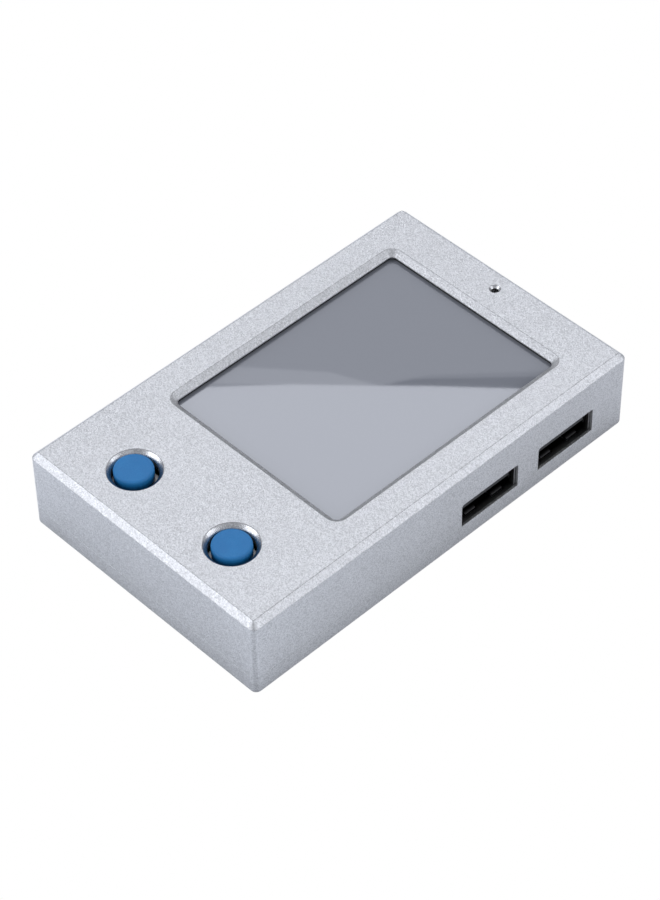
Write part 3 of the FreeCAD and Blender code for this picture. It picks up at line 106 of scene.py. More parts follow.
class Slot(Enum):
    """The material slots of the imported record."""

    CASE = "case_aluminium"
    FASTENER = "steel_fastener"
    GASKET = "gasket_foam"
    FILM = "screen_film"
    GLASS = "screen_glass"
    BACKLIGHT = "backlight_white"
    TRAY = "tray_steel"
    CARRIER = "carrier_black"
    RIBBON = "ribbon_amber"
    CONNECTOR = "connector_ivory"
    BOARD = "board_green"
    BUTTON = "button_blue"
    SWITCH = "switch_black"
    PLUNGER = "plunger_white"
    SPRING = "spring_steel"
    TERMINAL = "tinned_brass"
    SOCKET = "socket_steel"
    TONGUE = "socket_black"
    CONTACT = "contact_gold"
    INDICATOR = "indicator_clear"
    CHIP = "chip_black"
    FERRITE = "ferrite_grey"
    CAN = "can_aluminium"
    CERAMIC = "ceramic_tan"


class Texture(Enum):
    """The shared effect that a finish uses."""

    BLAST = "bead_blast"
    MOULDED = "moulded_grain"
    ROLLED = "rolled_sheet"


# ---- shader graphs ------------------------------------------------------------------------


class Graph:
    """A short way to write nodes into one tree."""

    def __init__(self, tree: bpy.types.NodeTree) -> None:
        """Take an empty node tree.

        Args:
            tree: the tree that the nodes go into.
        """
        self.tree = tree

    def node(self, kind: str, feeds: dict[str | int, object] | None = None,
             **settings: object) -> bpy.types.Node:
        """Add one node and feed its inputs.

        Args:
            kind: the node's class name.
            feeds: input name or number, with an output socket or a constant.
            settings: properties to set on the node.

        Returns:
            The new node.
        """
        made = self.tree.nodes.new(kind)
        for name, value in settings.items():
            setattr(made, name, value)
        for key, value in (feeds or {}).items():
            self.feed(made.inputs[key], value)
        return made

    def feed(self, socket: bpy.types.NodeSocket, value: object) -> None:
        """Link an output into an input, or set the input's constant.

        Args:
            socket: the input.
            value: an output socket, a number, a colour or a vector.
        """
        if isinstance(value, bpy.types.NodeSocket):
            self.tree.links.new(value, socket)
        elif isinstance(value, tuple) and socket.type == "RGBA":
            socket.default_value = (*value, 1.0)
        else:
            socket.default_value = value

    def math(self, operation: str, *values: object) -> bpy.types.NodeSocket:
        """Calculate with one or two values.

        Args:
            operation: the Math node's operation.
            values: sockets or numbers.

        Returns:
            The result's socket.
        """
        feeds = dict(enumerate(values))
        return self.node("ShaderNodeMath", feeds, operation=operation).outputs[0]


class Shading(Graph):
    """A shader tree under construction."""

    def spread(self, value: object, low: object, high: object,
               source: tuple[float, float] = (0.0, 1.0)) -> bpy.types.NodeSocket:
        """Map a value from one range to another, clamped.

        Args:
            value: the value's socket.
            low: the result at the source's lower end.
            high: the result at the source's upper end.
            source: the range of the value.

        Returns:
            The mapped value's socket.
        """
        return self.node("ShaderNodeMapRange", {
            "Value": value, "From Min": source[0], "From Max": source[1],
            "To Min": low, "To Max": high}).outputs["Result"]

    def mix(self, factor: object, first: object, second: object) -> bpy.types.NodeSocket:
        """Mix two colours.

        Args:
            factor: share of the second colour.
            first: a colour or its socket.
            second: a colour or its socket.

        Returns:
            The mixed colour's socket.
        """
        made = self.node("ShaderNodeMix", {0: factor}, data_type="RGBA")
        inputs = [socket for socket in made.inputs if socket.type == "RGBA"]
        for socket, colour in zip(inputs, (first, second)):
            self.feed(socket, colour)
        return next(socket for socket in made.outputs if socket.type == "RGBA")

    def noise(self, vector: object, scale: object, detail: float = 2.0,
              roughness: float = 0.5) -> bpy.types.NodeSocket:
        """Add noise.

        Args:
            vector: where it is read.
            scale: features to a metre.
            detail: octaves.
            roughness: weight of the finer octaves.

        Returns:
            The noise's value, about one half.
        """
        return self.node("ShaderNodeTexNoise", {
            "Vector": vector, "Scale": scale, "Detail": detail,
            "Roughness": roughness}).outputs["Fac"]

    def place(self) -> bpy.types.NodeSocket:
        """Give the object coordinates."""
        return self.node("ShaderNodeTexCoord").outputs["Object"]

    def apart(self, vector: bpy.types.NodeSocket) -> Sequence[bpy.types.NodeSocket]:
        """Give the three parts of a vector."""
        return self.node("ShaderNodeSeparateXYZ", {0: vector}).outputs

    def beyond(self, value: object, middle: object) -> bpy.types.NodeSocket:
        """Give how far a value's size lies beyond another value."""
        return self.math("SUBTRACT", self.math("ABSOLUTE", value), middle)

    def within(self, across: object, along: object, reach: object) -> bpy.types.NodeSocket:
        """Mask a round spot.

        Args:
            across: distance from the spot's middle one way.
            along: distance from the spot's middle the other way.
            reach: the spot's radius.

        Returns:
            A socket that is 1 inside the spot.
        """
        square = self.math("ADD", self.math("MULTIPLY", across, across),
                           self.math("MULTIPLY", along, along))
        return self.math("LESS_THAN", self.math("SQRT", square), reach)

    def total(self, *terms: tuple[object, object]) -> bpy.types.NodeSocket:
        """Add up the products of pairs.

        Args:
            terms: pairs of sockets or numbers.

        Returns:
            The sum's socket.
        """
        products = [self.math("MULTIPLY", *pair) for pair in terms]
        total = products[0]
        for product in products[1:]:
            total = self.math("ADD", total, product)
        return total

    def leave(self, shader: bpy.types.Node, kind: str = "Material") -> None:
        """End the tree in a shader.

        Args:
            shader: the last shader node.
            kind: "Material" or "World".
        """
        self.node(f"ShaderNodeOutput{kind}", {"Surface": shader.outputs[0]})

    def chosen(self, factor: bpy.types.NodeSocket, first: bpy.types.Node,
               second: bpy.types.Node) -> bpy.types.Node:
        """Mix two shaders.

        Args:
            factor: share of the second shader.
            first: a shader node.
            second: a shader node.

        Returns:
            The mixing node.
        """
        return self.node("ShaderNodeMixShader", {
            0: factor, 1: first.outputs[0], 2: second.outputs[0]})


def cleared(owner: bpy.types.Material | bpy.types.World) -> Shading:
    """Empty the shader tree of a new material or world.

    Args:
        owner: the material or world.

    Returns:
        Its tree, ready for nodes.
    """
    owner.use_nodes = True
    owner.node_tree.nodes.clear()
    return Shading(owner.node_tree)


@dataclass(frozen=True)
class Effect:
    """A shared surface effect: a node group that gives a colour, a roughness and a height."""

    name: str
    inputs: tuple[tuple[str, object], ...]
    draw: Callable[[Shading, dict, dict], None]

    @cache
    def group(self) -> bpy.types.NodeTree:
        """Make the node group once.

        Returns:
            The group.
        """
        tree = bpy.data.node_groups.new(self.name, "ShaderNodeTree")
        for label, value in self.inputs:
            colour = isinstance(value, tuple)
            socket = tree.interface.new_socket(
                name=label, in_out="INPUT",
                socket_type="NodeSocketColor" if colour else "NodeSocketFloat")
            socket.default_value = (*value, 1.0) if colour else value
        outputs = {"Colour": "NodeSocketColor", "Roughness": "NodeSocketFloat",
                   "Height": "NodeSocketFloat"}
        for label, kind in outputs.items():
            tree.interface.new_socket(name=label, in_out="OUTPUT", socket_type=kind)
        graph = Shading(tree)
        entry, leave = graph.node("NodeGroupInput"), graph.node("NodeGroupOutput")
        given = {label: entry.outputs[label] for label, _ in self.inputs}
        self.draw(graph, given, {label: leave.inputs[label] for label in outputs})
        return tree


# The parts of the shell, told apart by the upward part of the normal, by how far the normal is
# turned from both walls at an upright corner, and by the distance from the joint line.
SLOPING = 0.97
EDGE_STARTS = (0.82, 0.86)
EDGE_ENDS = (0.96, 0.99)
WINDOW_SLOPE = (0.75, 0.82)
UPRIGHT_CORNER = (0.3, 0.6)
SEAM_FADE = (0.04 * MM, 0.08 * MM)
TURNED_GRAIN = 0.7
TURNED_RELIEF = 0.15


def draw_blast(graph: Shading, given: dict, made: dict) -> None:
    """Draw fine bead blast: packed dimples, single bright grains and a slow drift of tone.

    The broken edges of the top and the upright corners carry painted shade, the countersinks are
    turned smooth after blasting and carry painted shade that tones down their reflections, the
    window's slopes are darker, and the joint line is dark. The upward part of the normal tells the
    broken edges and the window's slopes from the level faces.

    Args:
        graph: the group's graph.
        given: its inputs.
        made: its outputs.
    """
    place = graph.place()
    dimples = graph.node("ShaderNodeTexVoronoi", {"Vector": place, "Scale": given["Grains"]})
    channels = graph.node("ShaderNodeSeparateColor", {0: dimples.outputs["Color"]}).outputs
    drift = graph.noise(place, given["Drift"], detail=3.0)
    across, along, height = graph.apart(place)
    normal = graph.node("ShaderNodeNewGeometry").outputs["Normal"]
    facing_x, facing_y, slope = graph.apart(normal)

    sink = graph.within(graph.beyond(across, given["Sink Across"]),
                        graph.math("SUBTRACT", along, given["Sink Along"]), given["Sink Reach"])
    pinhole = graph.within(across, graph.math("SUBTRACT", along, given["Pin Along"]),
                           given["Pin Reach"])
    sloping = graph.math("MULTIPLY", graph.math("LESS_THAN", slope, SLOPING),
                         graph.math("GREATER_THAN", height, given["Sink Floor"]))
    # The countersinks: turned smoother, finer in grain, and darkened by painted shade that tones
    # down their reflections.
    turned = graph.math("MULTIPLY", graph.math("MAXIMUM", sink, pinhole), sloping)

    # Painted shade on the broken edges, where the normal turns from level to sloping.
    edge = graph.math("MINIMUM", graph.spread(slope, 0.0, 1.0, EDGE_STARTS),
                      graph.spread(slope, 1.0, 0.0, EDGE_ENDS))
    # The window's slopes are made darker.
    window = graph.math("MULTIPLY", graph.math("GREATER_THAN", slope, WINDOW_SLOPE[0]),
                        graph.math("LESS_THAN", slope, WINDOW_SLOPE[1]))
    # Painted shade down the upright corners.
    corner = graph.spread(
        graph.math("MINIMUM", graph.math("ABSOLUTE", facing_x),
                   graph.math("ABSOLUTE", facing_y)), 0.0, 1.0, UPRIGHT_CORNER)
    from_joint = graph.math("ABSOLUTE", graph.math("SUBTRACT", height, given["Joint"]))
    seam = graph.spread(from_joint, 1.0, 0.0, SEAM_FADE)
    # All that darkens the shell: painted shade on the broken edges, upright corners and
    # countersinks, the darker window slopes and the dark joint line.
    dark_joint_and_painted_shade = graph.total((edge, given["Dull Edge"]), (window, given["Dull Slope"]),
                       (seam, given["Dull Joint"]), (turned, given["Dull Sink"]),
                       (corner, given["Dull Corner"]))

    level = graph.total((channels[0], given["Contrast"]), (drift, given["Blotch"]))
    fine = graph.math("MULTIPLY", level, graph.spread(turned, 1.0, TURNED_GRAIN))
    rough = graph.spread(channels[1], given["Smooth"], given["Rough"])
    relief = graph.math("ADD", dimples.outputs["Distance"],
                        graph.math("MULTIPLY", channels[2], given["Facet"]))
    graph.feed(made["Colour"],
               graph.mix(graph.math("ADD", fine, dark_joint_and_painted_shade), given["Light"], given["Dark"]))
    graph.feed(made["Roughness"], graph.spread(turned, rough, given["Turned"]))
    graph.feed(made["Height"],
               graph.math("MULTIPLY", relief, graph.spread(turned, 1.0, TURNED_RELIEF)))


# The useful range of the noise, how far a line is drawn out along X, and over what depth the
# painted shade inside a socket sets in.
MID_TONES = (0.3, 0.7)
LINE_STRETCH = (0.04, 1.0, 1.0)
INWARD_SHADE_FADE = (0.2 * MM, 1.2 * MM)


def draw_moulded(graph: Shading, given: dict, made: dict) -> None:
    """Draw moulded plastic: a fine spark-eroded grain with faint flow clouds.

    Args:
        graph: the group's graph.
        given: its inputs.
        made: its outputs.
    """
    place = graph.place()
    grain = graph.noise(place, given["Grains"], detail=3.0, roughness=0.6)
    cloud = graph.noise(place, given["Clouds"])
    level = graph.math("MULTIPLY", graph.math("ADD", grain, cloud), given["Contrast"])
    graph.feed(made["Colour"], graph.mix(level, given["Light"], given["Dark"]))
    graph.feed(made["Roughness"], graph.spread(grain, given["Smooth"], given["Rough"], MID_TONES))
    graph.feed(made["Height"], grain)


def draw_rolled(graph: Shading, given: dict, made: dict) -> None:
    """Draw rolled sheet: fine lines along X with a soft drift, with painted shade deep inside a
    socket.

    Args:
        graph: the group's graph.
        given: its inputs.
        made: its outputs.
    """
    place = graph.place()
    stretched = graph.node("ShaderNodeMapping", {"Vector": place, "Scale": LINE_STRETCH})
    lines = graph.noise(stretched.outputs[0], given["Lines"], roughness=0.7)
    cloud = graph.noise(place, given["Clouds"])
    level = graph.math("MULTIPLY", graph.math("ADD", lines, cloud), 0.5)
    tone = graph.spread(level, 0.0, 1.0, MID_TONES)
    # Painted shade: the sheet darkens towards black deeper inside the socket than its mouth.
    depth = graph.math("SUBTRACT", given["Mouth"], graph.math("ABSOLUTE", graph.apart(place)[0]))
    inward = graph.spread(depth, 1.0, given["Deep"], INWARD_SHADE_FADE)
    sheet = graph.mix(tone, given["Light"], given["Dark"])
    graph.feed(made["Colour"], graph.mix(inward, grey(0.0), sheet))
    graph.feed(made["Roughness"], graph.spread(lines, given["Smooth"], given["Rough"], MID_TONES))
    graph.feed(made["Height"], lines)


# Every effect has these inputs and then its own. A finish gives the values that differ.
SURFACE = (("Light", (0.8, 0.8, 0.8)), ("Dark", (0.6, 0.6, 0.6)), ("Smooth", 0.3), ("Rough", 0.5))
EFFECTS: dict[Texture, Effect] = {
    Texture.BLAST: Effect(
        Texture.BLAST.value,
        (*SURFACE,
         ("Grains", 5900.0), ("Drift", 60.0), ("Contrast", 0.5), ("Blotch", 0.15),
         ("Facet", 0.8), ("Turned", 0.27),
         # The broken edges, upright corners and countersinks get painted shade here; the window's
         # slopes and the joint line are darkened.
         ("Dull Edge", 0.5), ("Dull Slope", 0.16), ("Dull Joint", 0.35), ("Dull Sink", 0.4),
         ("Dull Corner", 0.3), ("Joint", 3.55 * MM),
         ("Sink Across", 11.5 * MM), ("Sink Along", -33.525 * MM), ("Sink Reach", 4.8 * MM),
         ("Sink Floor", 15.3 * MM), ("Pin Along", 38.875 * MM), ("Pin Reach", 1.08 * MM)),
        draw_blast),
    Texture.MOULDED: Effect(
        Texture.MOULDED.value,
        (*SURFACE, ("Grains", 9000.0), ("Clouds", 300.0), ("Contrast", 0.5)),
        draw_moulded),
    Texture.ROLLED: Effect(
        Texture.ROLLED.value,
        (*SURFACE, ("Lines", 12000.0), ("Clouds", 400.0), ("Mouth", 26.1 * MM), ("Deep", 1.0)),
        draw_rolled),
}


# ---- finishes -----------------------------------------------------------------------------


@dataclass(frozen=True)
class Finish:
    """A surface: the effect it uses, the effect's values and the shader's constants."""

    name: str
    texture: Texture
    light: Colour
    dark: Colour
    smooth: float
    rough: float
    effect: tuple[tuple[str, float], ...] = ()
    relief: float = 0.01 * MM
    metallic: float = 0.0
    index: float = 1.5
    coat: float = 0.0

    @cache
    def material(self) -> bpy.types.Material:
        """Make the material once.

        Returns:
            The material.
        """
        made = bpy.data.materials.new(self.name)
        graph = cleared(made)
        effect = graph.node("ShaderNodeGroup", node_tree=EFFECTS[self.texture].group())
        values = {"Light": self.light, "Dark": self.dark, "Smooth": self.smooth,
                  "Rough": self.rough, **dict(self.effect)}
        for label, value in values.items():
            graph.feed(effect.inputs[label], value)
        bump = graph.node("ShaderNodeBump", {
            "Distance": self.relief, "Height": effect.outputs["Height"]})
        graph.leave(graph.node("ShaderNodeBsdfPrincipled", {
            "Base Color": effect.outputs["Colour"], "Roughness": effect.outputs["Roughness"],
            "Normal": bump.outputs["Normal"], "Metallic": self.metallic, "IOR": self.index,
            "Coat Weight": self.coat}))
        made.diffuse_color = (*self.light, 1.0)
        return made


def grey(value: float, warmth: float = 0.0) -> Colour:
    """Give a grey.

    Args:
        value: its level.
        warmth: more red and less blue, by this share.

    Returns:
        The colour.
    """
    return (value * (1 + warmth), value, value * (1 - warmth))


FINISHES: dict[Slot, Finish] = {
    Slot.CASE: Finish(
        "blasted_aluminium", Texture.BLAST, grey(0.79), grey(0.355), 0.32, 0.50,
        (("Contrast", 0.6), ("Blotch", 0.12)), relief=0.034 * MM, metallic=1.0),
    Slot.FASTENER: Finish(
        "zinc_steel", Texture.ROLLED, grey(0.62), grey(0.48), 0.24, 0.38, relief=0.002 * MM,
        metallic=1.0),
    Slot.GASKET: Finish(
        "black_foam", Texture.MOULDED, grey(0.03), grey(0.01), 0.85, 0.95,
        (("Grains", 4000.0),), relief=0.04 * MM),
    Slot.FILM: Finish(
        "dark_film", Texture.MOULDED, (0.213, 0.222, 0.244), (0.205, 0.214, 0.236), 0.012, 0.02,
        (("Grains", 900.0), ("Clouds", 40.0)), relief=0.0, index=1.985),
    Slot.GLASS: Finish(
        "panel_glass", Texture.MOULDED, (0.05, 0.055, 0.06), (0.03, 0.035, 0.04), 0.02, 0.06,
        relief=0.0),
    Slot.BACKLIGHT: Finish(
        "white_diffuser", Texture.MOULDED, grey(0.86), grey(0.78), 0.5, 0.65),
    Slot.TRAY: Finish(
        "bright_sheet", Texture.ROLLED, grey(0.66), grey(0.52), 0.18, 0.3, relief=0.003 * MM,
        metallic=1.0),
    Slot.CARRIER: Finish(
        "carrier_plastic", Texture.MOULDED, grey(0.05), grey(0.02), 0.5, 0.7, relief=0.02 * MM),
    Slot.RIBBON: Finish(
        "amber_film", Texture.ROLLED, (0.62, 0.3, 0.06), (0.45, 0.2, 0.035), 0.25, 0.4,
        relief=0.002 * MM, coat=0.4),
    Slot.CONNECTOR: Finish(
        "ivory_plastic", Texture.MOULDED, (0.82, 0.78, 0.68), (0.72, 0.67, 0.56), 0.4, 0.55),
    Slot.BOARD: Finish(
        "solder_mask", Texture.MOULDED, (0.03, 0.2, 0.09), (0.012, 0.12, 0.05), 0.25, 0.4,
        (("Grains", 1500.0), ("Clouds", 200.0)), coat=0.5),
    Slot.BUTTON: Finish(
        "blue_plastic", Texture.MOULDED, (0.014, 0.222, 0.5), (0.005, 0.15, 0.385), 0.45, 0.6,
        (("Grains", 6000.0), ("Contrast", 0.9)), relief=0.03 * MM),
    Slot.SWITCH: Finish(
        "switch_plastic", Texture.MOULDED, grey(0.04), grey(0.02), 0.4, 0.6),
    Slot.PLUNGER: Finish(
        "white_plastic", Texture.MOULDED, grey(0.78), grey(0.7), 0.35, 0.5),
    # The spring sheet's tone is kept dark so the switch covers seen in the gaps round the caps stay
    # dark: painted shade.
    Slot.SPRING: Finish(
        "spring_sheet", Texture.ROLLED, grey(0.2), grey(0.15), 0.3, 0.42, relief=0.002 * MM,
        metallic=1.0),
    Slot.TERMINAL: Finish(
        "tinned_sheet", Texture.ROLLED, grey(0.74, 0.01), grey(0.62, 0.01), 0.25, 0.4,
        relief=0.002 * MM, metallic=1.0),
    # The socket sheet's tone is kept low and fades to near black inside: painted shade of the
    # socket's recess.
    Slot.SOCKET: Finish(
        "nickel_sheet", Texture.ROLLED, grey(0.3, 0.01), grey(0.24, 0.01), 0.3, 0.42,
        (("Deep", 0.04),), relief=0.003 * MM, metallic=1.0),
    Slot.TONGUE: Finish(
        "tongue_plastic", Texture.MOULDED, grey(0.03), grey(0.012), 0.4, 0.6),
    Slot.CONTACT: Finish(
        "gold_plate", Texture.ROLLED, (0.9, 0.68, 0.3), (0.78, 0.55, 0.22), 0.15, 0.3,
        relief=0.002 * MM, metallic=1.0),
    Slot.INDICATOR: Finish(
        "clear_resin", Texture.MOULDED, (0.85, 0.84, 0.76), (0.75, 0.73, 0.62), 0.1, 0.2,
        relief=0.002 * MM, coat=1.0),
    Slot.CHIP: Finish(
        "moulding_compound", Texture.MOULDED, grey(0.05), grey(0.022), 0.45, 0.65,
        (("Grains", 12000.0),), relief=0.015 * MM),
    Slot.FERRITE: Finish(
        "sintered_ferrite", Texture.MOULDED, grey(0.14), grey(0.07), 0.6, 0.8,
        (("Grains", 6000.0),), relief=0.03 * MM),
    Slot.CAN: Finish(
        "drawn_can", Texture.ROLLED, grey(0.8), grey(0.66), 0.2, 0.35, relief=0.002 * MM,
        metallic=1.0),
    Slot.CERAMIC: Finish(
        "ceramic_body", Texture.MOULDED, (0.58, 0.44, 0.3), (0.48, 0.35, 0.22), 0.35, 0.5),
}


# ---- repeating trees ----------------------------------------------------------------------


class Recipe(Graph):
    """A Geometry Nodes tree under construction, with named inputs and one output."""

    def __init__(self, name: str) -> None:
        """Start an empty tree.

        Args:
            name: the tree's name.
        """
        super().__init__(bpy.data.node_groups.new(name, "GeometryNodeTree"))
        for way in ("INPUT", "OUTPUT"):
            self.tree.interface.new_socket(
                name="Geometry", in_out=way, socket_type="NodeSocketGeometry")
        self.entry = self.node("NodeGroupInput")

    def ask(self, label: str, kind: str, value: object = None) -> bpy.types.NodeSocket:
        """Add a named input.

        Args:
            label: the input's name.
            kind: "Float", "Int", "Vector", "Object" or "Material".
            value: its usual value.

        Returns:
            The socket inside the tree.
        """
        socket = self.tree.interface.new_socket(
            name=label, in_out="INPUT", socket_type=f"NodeSocket{kind}")
        if value is not None:
            socket.default_value = value
        return self.entry.outputs[label]

    def joined(self, x: object, y: object, z: object) -> bpy.types.NodeSocket:
        """Give a vector made of three numbers."""
        return self.node("ShaderNodeCombineXYZ", {0: x, 1: y, 2: z}).outputs[0]

    def finish(self, geometry: bpy.types.NodeSocket, finish: bpy.types.NodeSocket) -> None:
        """End the tree in real meshes with a material.

        Args:
            geometry: what has been made.
            finish: the material's socket.
        """
        real = self.node("GeometryNodeRealizeInstances", {"Geometry": geometry})
        dressed = self.node("GeometryNodeSetMaterial",
                            {"Geometry": real.outputs[0], "Material": finish})
        self.node("NodeGroupOutput", {"Geometry": dressed.outputs[0]})


@cache
def grid_tree() -> bpy.types.NodeTree:
    """Make the tree that sets copies of a template in rows and columns.

    Returns:
        The tree. Each copy may be turned about Z by a random angle with a fixed seed.
    """
    recipe = Recipe("grid_repeat")
    template = recipe.ask("Template", "Object")
    columns, rows = recipe.ask("Columns", "Int", 2), recipe.ask("Rows", "Int", 2)
    across, along = recipe.ask("Column Pitch", "Float"), recipe.ask("Row Pitch", "Float")
    middle = recipe.ask("Middle", "Vector")
    turn, seed = recipe.ask("Turn Spread", "Float"), recipe.ask("Seed", "Int")
    finish = recipe.ask("Finish", "Material")
    width, depth = (
        recipe.math("MULTIPLY", recipe.math("SUBTRACT", count, 1.0), pitch)
        for count, pitch in ((columns, across), (rows, along)))
    grid = recipe.node("GeometryNodeMeshGrid", {
        "Size X": width, "Size Y": depth, "Vertices X": columns, "Vertices Y": rows})
    moved = recipe.node("GeometryNodeTransform", {
        "Geometry": grid.outputs["Mesh"], "Translation": middle})
    angle = recipe.node("FunctionNodeRandomValue", {
        2: recipe.math("MULTIPLY", turn, -1.0), 3: turn, "Seed": seed}, data_type="FLOAT")
    source = recipe.node("GeometryNodeObjectInfo", {"Object": template})
    copies = recipe.node("GeometryNodeInstanceOnPoints", {
        "Points": moved.outputs[0], "Instance": source.outputs["Geometry"],
        "Rotation": recipe.joined(0.0, 0.0, angle.outputs[1])})
    recipe.finish(copies.outputs[0], finish)
    return recipe.tree


@cache
def ring_tree() -> bpy.types.NodeTree:
    """Make the tree that sets rows of a template along the sides of a square or a pair of sides.

    Returns:
        The tree. The template faces +Y, and each row stands at the reach from the middle.
    """
    recipe = Recipe("ring_of_rows")
    template = recipe.ask("Template", "Object")
    count, pitch = recipe.ask("Count", "Int", 4), recipe.ask("Pitch", "Float")
    reach, sides = recipe.ask("Reach", "Float"), recipe.ask("Sides", "Int", 4)
    middle = recipe.ask("Middle", "Vector")
    finish = recipe.ask("Finish", "Material")
    start = recipe.math("MULTIPLY", recipe.math("SUBTRACT", count, 1.0),
                        recipe.math("MULTIPLY", pitch, -0.5))
    line = recipe.node("GeometryNodeMeshLine", {
        "Count": count, "Start Location": recipe.joined(start, reach, 0.0),
        "Offset": recipe.joined(pitch, 0.0, 0.0)}, mode="OFFSET")
    source = recipe.node("GeometryNodeObjectInfo", {"Object": template})
    row = recipe.node("GeometryNodeInstanceOnPoints", {
        "Points": line.outputs[0], "Instance": source.outputs["Geometry"]})
    whole = recipe.node("GeometryNodeGeometryToInstance", {0: row.outputs[0]})
    centres = recipe.node("GeometryNodePoints", {"Count": sides, "Position": middle})
    step = recipe.math("DIVIDE", math.tau, sides)
    angle = recipe.math("MULTIPLY", recipe.node("GeometryNodeInputIndex").outputs[0], step)
    ring = recipe.node("GeometryNodeInstanceOnPoints", {
        "Points": centres.outputs[0], "Instance": whole.outputs[0],
        "Rotation": recipe.joined(0.0, 0.0, angle)})
    recipe.finish(ring.outputs[0], finish)
    return recipe.tree


# ---- shaping ------------------------------------------------------------------------------


def fresh_mesh(name: str, work: bmesh.types.BMesh) -> bpy.types.Mesh:
    """Turn a working mesh into a mesh, and free it.

    Args:
        name: the mesh's name.
        work: the working mesh.

    Returns:
        The mesh.
    """
    mesh = bpy.data.meshes.new(name)
    work.to_mesh(mesh)
    work.free()
    return mesh


def lathed(name: str, profile: Sequence[tuple[float, float]], steps: int) -> bpy.types.Mesh:
    """Turn a profile about the Z axis.

    Args:
        name: the mesh's name.
        profile: radius and height of each point, from the axis out and back to the axis.
        steps: faces round the axis.

    Returns:
        A closed mesh.
    """
    work = bmesh.new()
    rings = []
    for radius, height in profile:
        if radius == 0.0:
            rings.append([work.verts.new((0.0, 0.0, height))])
            continue
        angles = (math.tau * number / steps for number in range(steps))
        rings.append([work.verts.new((radius * math.cos(a), radius * math.sin(a), height))
                      for a in angles])
    for low, high in zip(rings, rings[1:]):
        for number in range(steps):
            after = (number + 1) % steps
            around = (low[number % len(low)], low[after % len(low)],
                      high[after % len(high)], high[number % len(high)])
            work.faces.new(list(dict.fromkeys(around))).smooth = True
    bmesh.ops.recalc_face_normals(work, faces=work.faces)
    return fresh_mesh(name, work)


def span(points: Sequence[Vector]) -> tuple[Vector, Vector]:
    """Measure points.

    Args:
        points: the points.

    Returns:
        The middle of their box, and its size.
    """
    low = Vector([min(point[axis] for point in points) for axis in range(3)])
    high = Vector([max(point[axis] for point in points) for axis in range(3)])
    return (low + high) / 2, high - low


def linked(name: str, data: bpy.types.ID) -> bpy.types.Object:
    """Put a new object into the scene.

    Args:
        name: the object's name.
        data: its mesh, light or camera.

    Returns:
        The object.
    """
    made = bpy.data.objects.new(name, data)
    bpy.context.scene.collection.objects.link(made)
    return made


def open_loops(work: bmesh.types.BMesh) -> list[list[bmesh.types.BMVert]]:
    """Find the open loops of a working mesh.

    Args:
        work: the working mesh.

    Returns:
        The corners of each loop, in order.
    """
    ways: dict[bmesh.types.BMVert, list[bmesh.types.BMVert]] = {}
    for edge in work.edges:
        if edge.is_boundary:
            first, second = edge.verts
            ways.setdefault(first, []).append(second)
            ways.setdefault(second, []).append(first)
    loops = []
    while ways:
        loop = [next(iter(ways))]
        while True:
            ahead = [vert for vert in ways.pop(loop[-1]) if vert in ways]
            if not ahead:
                break
            loop.append(ahead[0])
        loops.append(loop)
    return loops


def extruded(name: str, outline: Sequence[tuple[float, float]], width: float) -> bpy.types.Mesh:
    """Extrude an outline along X, to both sides of the middle.

    Args:
        name: the mesh's name.
        outline: the outline's points, as (y, z).
        width: the extrusion's length.

    Returns:
        The mesh.
    """
    work = bmesh.new()
    face = work.faces.new([work.verts.new((-width / 2, y, z)) for y, z in outline])
    grown = bmesh.ops.extrude_face_region(work, geom=[face])["geom"]
    far = [item for item in grown if isinstance(item, bmesh.types.BMVert)]
    bmesh.ops.translate(work, verts=far, vec=(width, 0.0, 0.0))
    bmesh.ops.recalc_face_normals(work, faces=work.faces)
    return fresh_mesh(name, work)


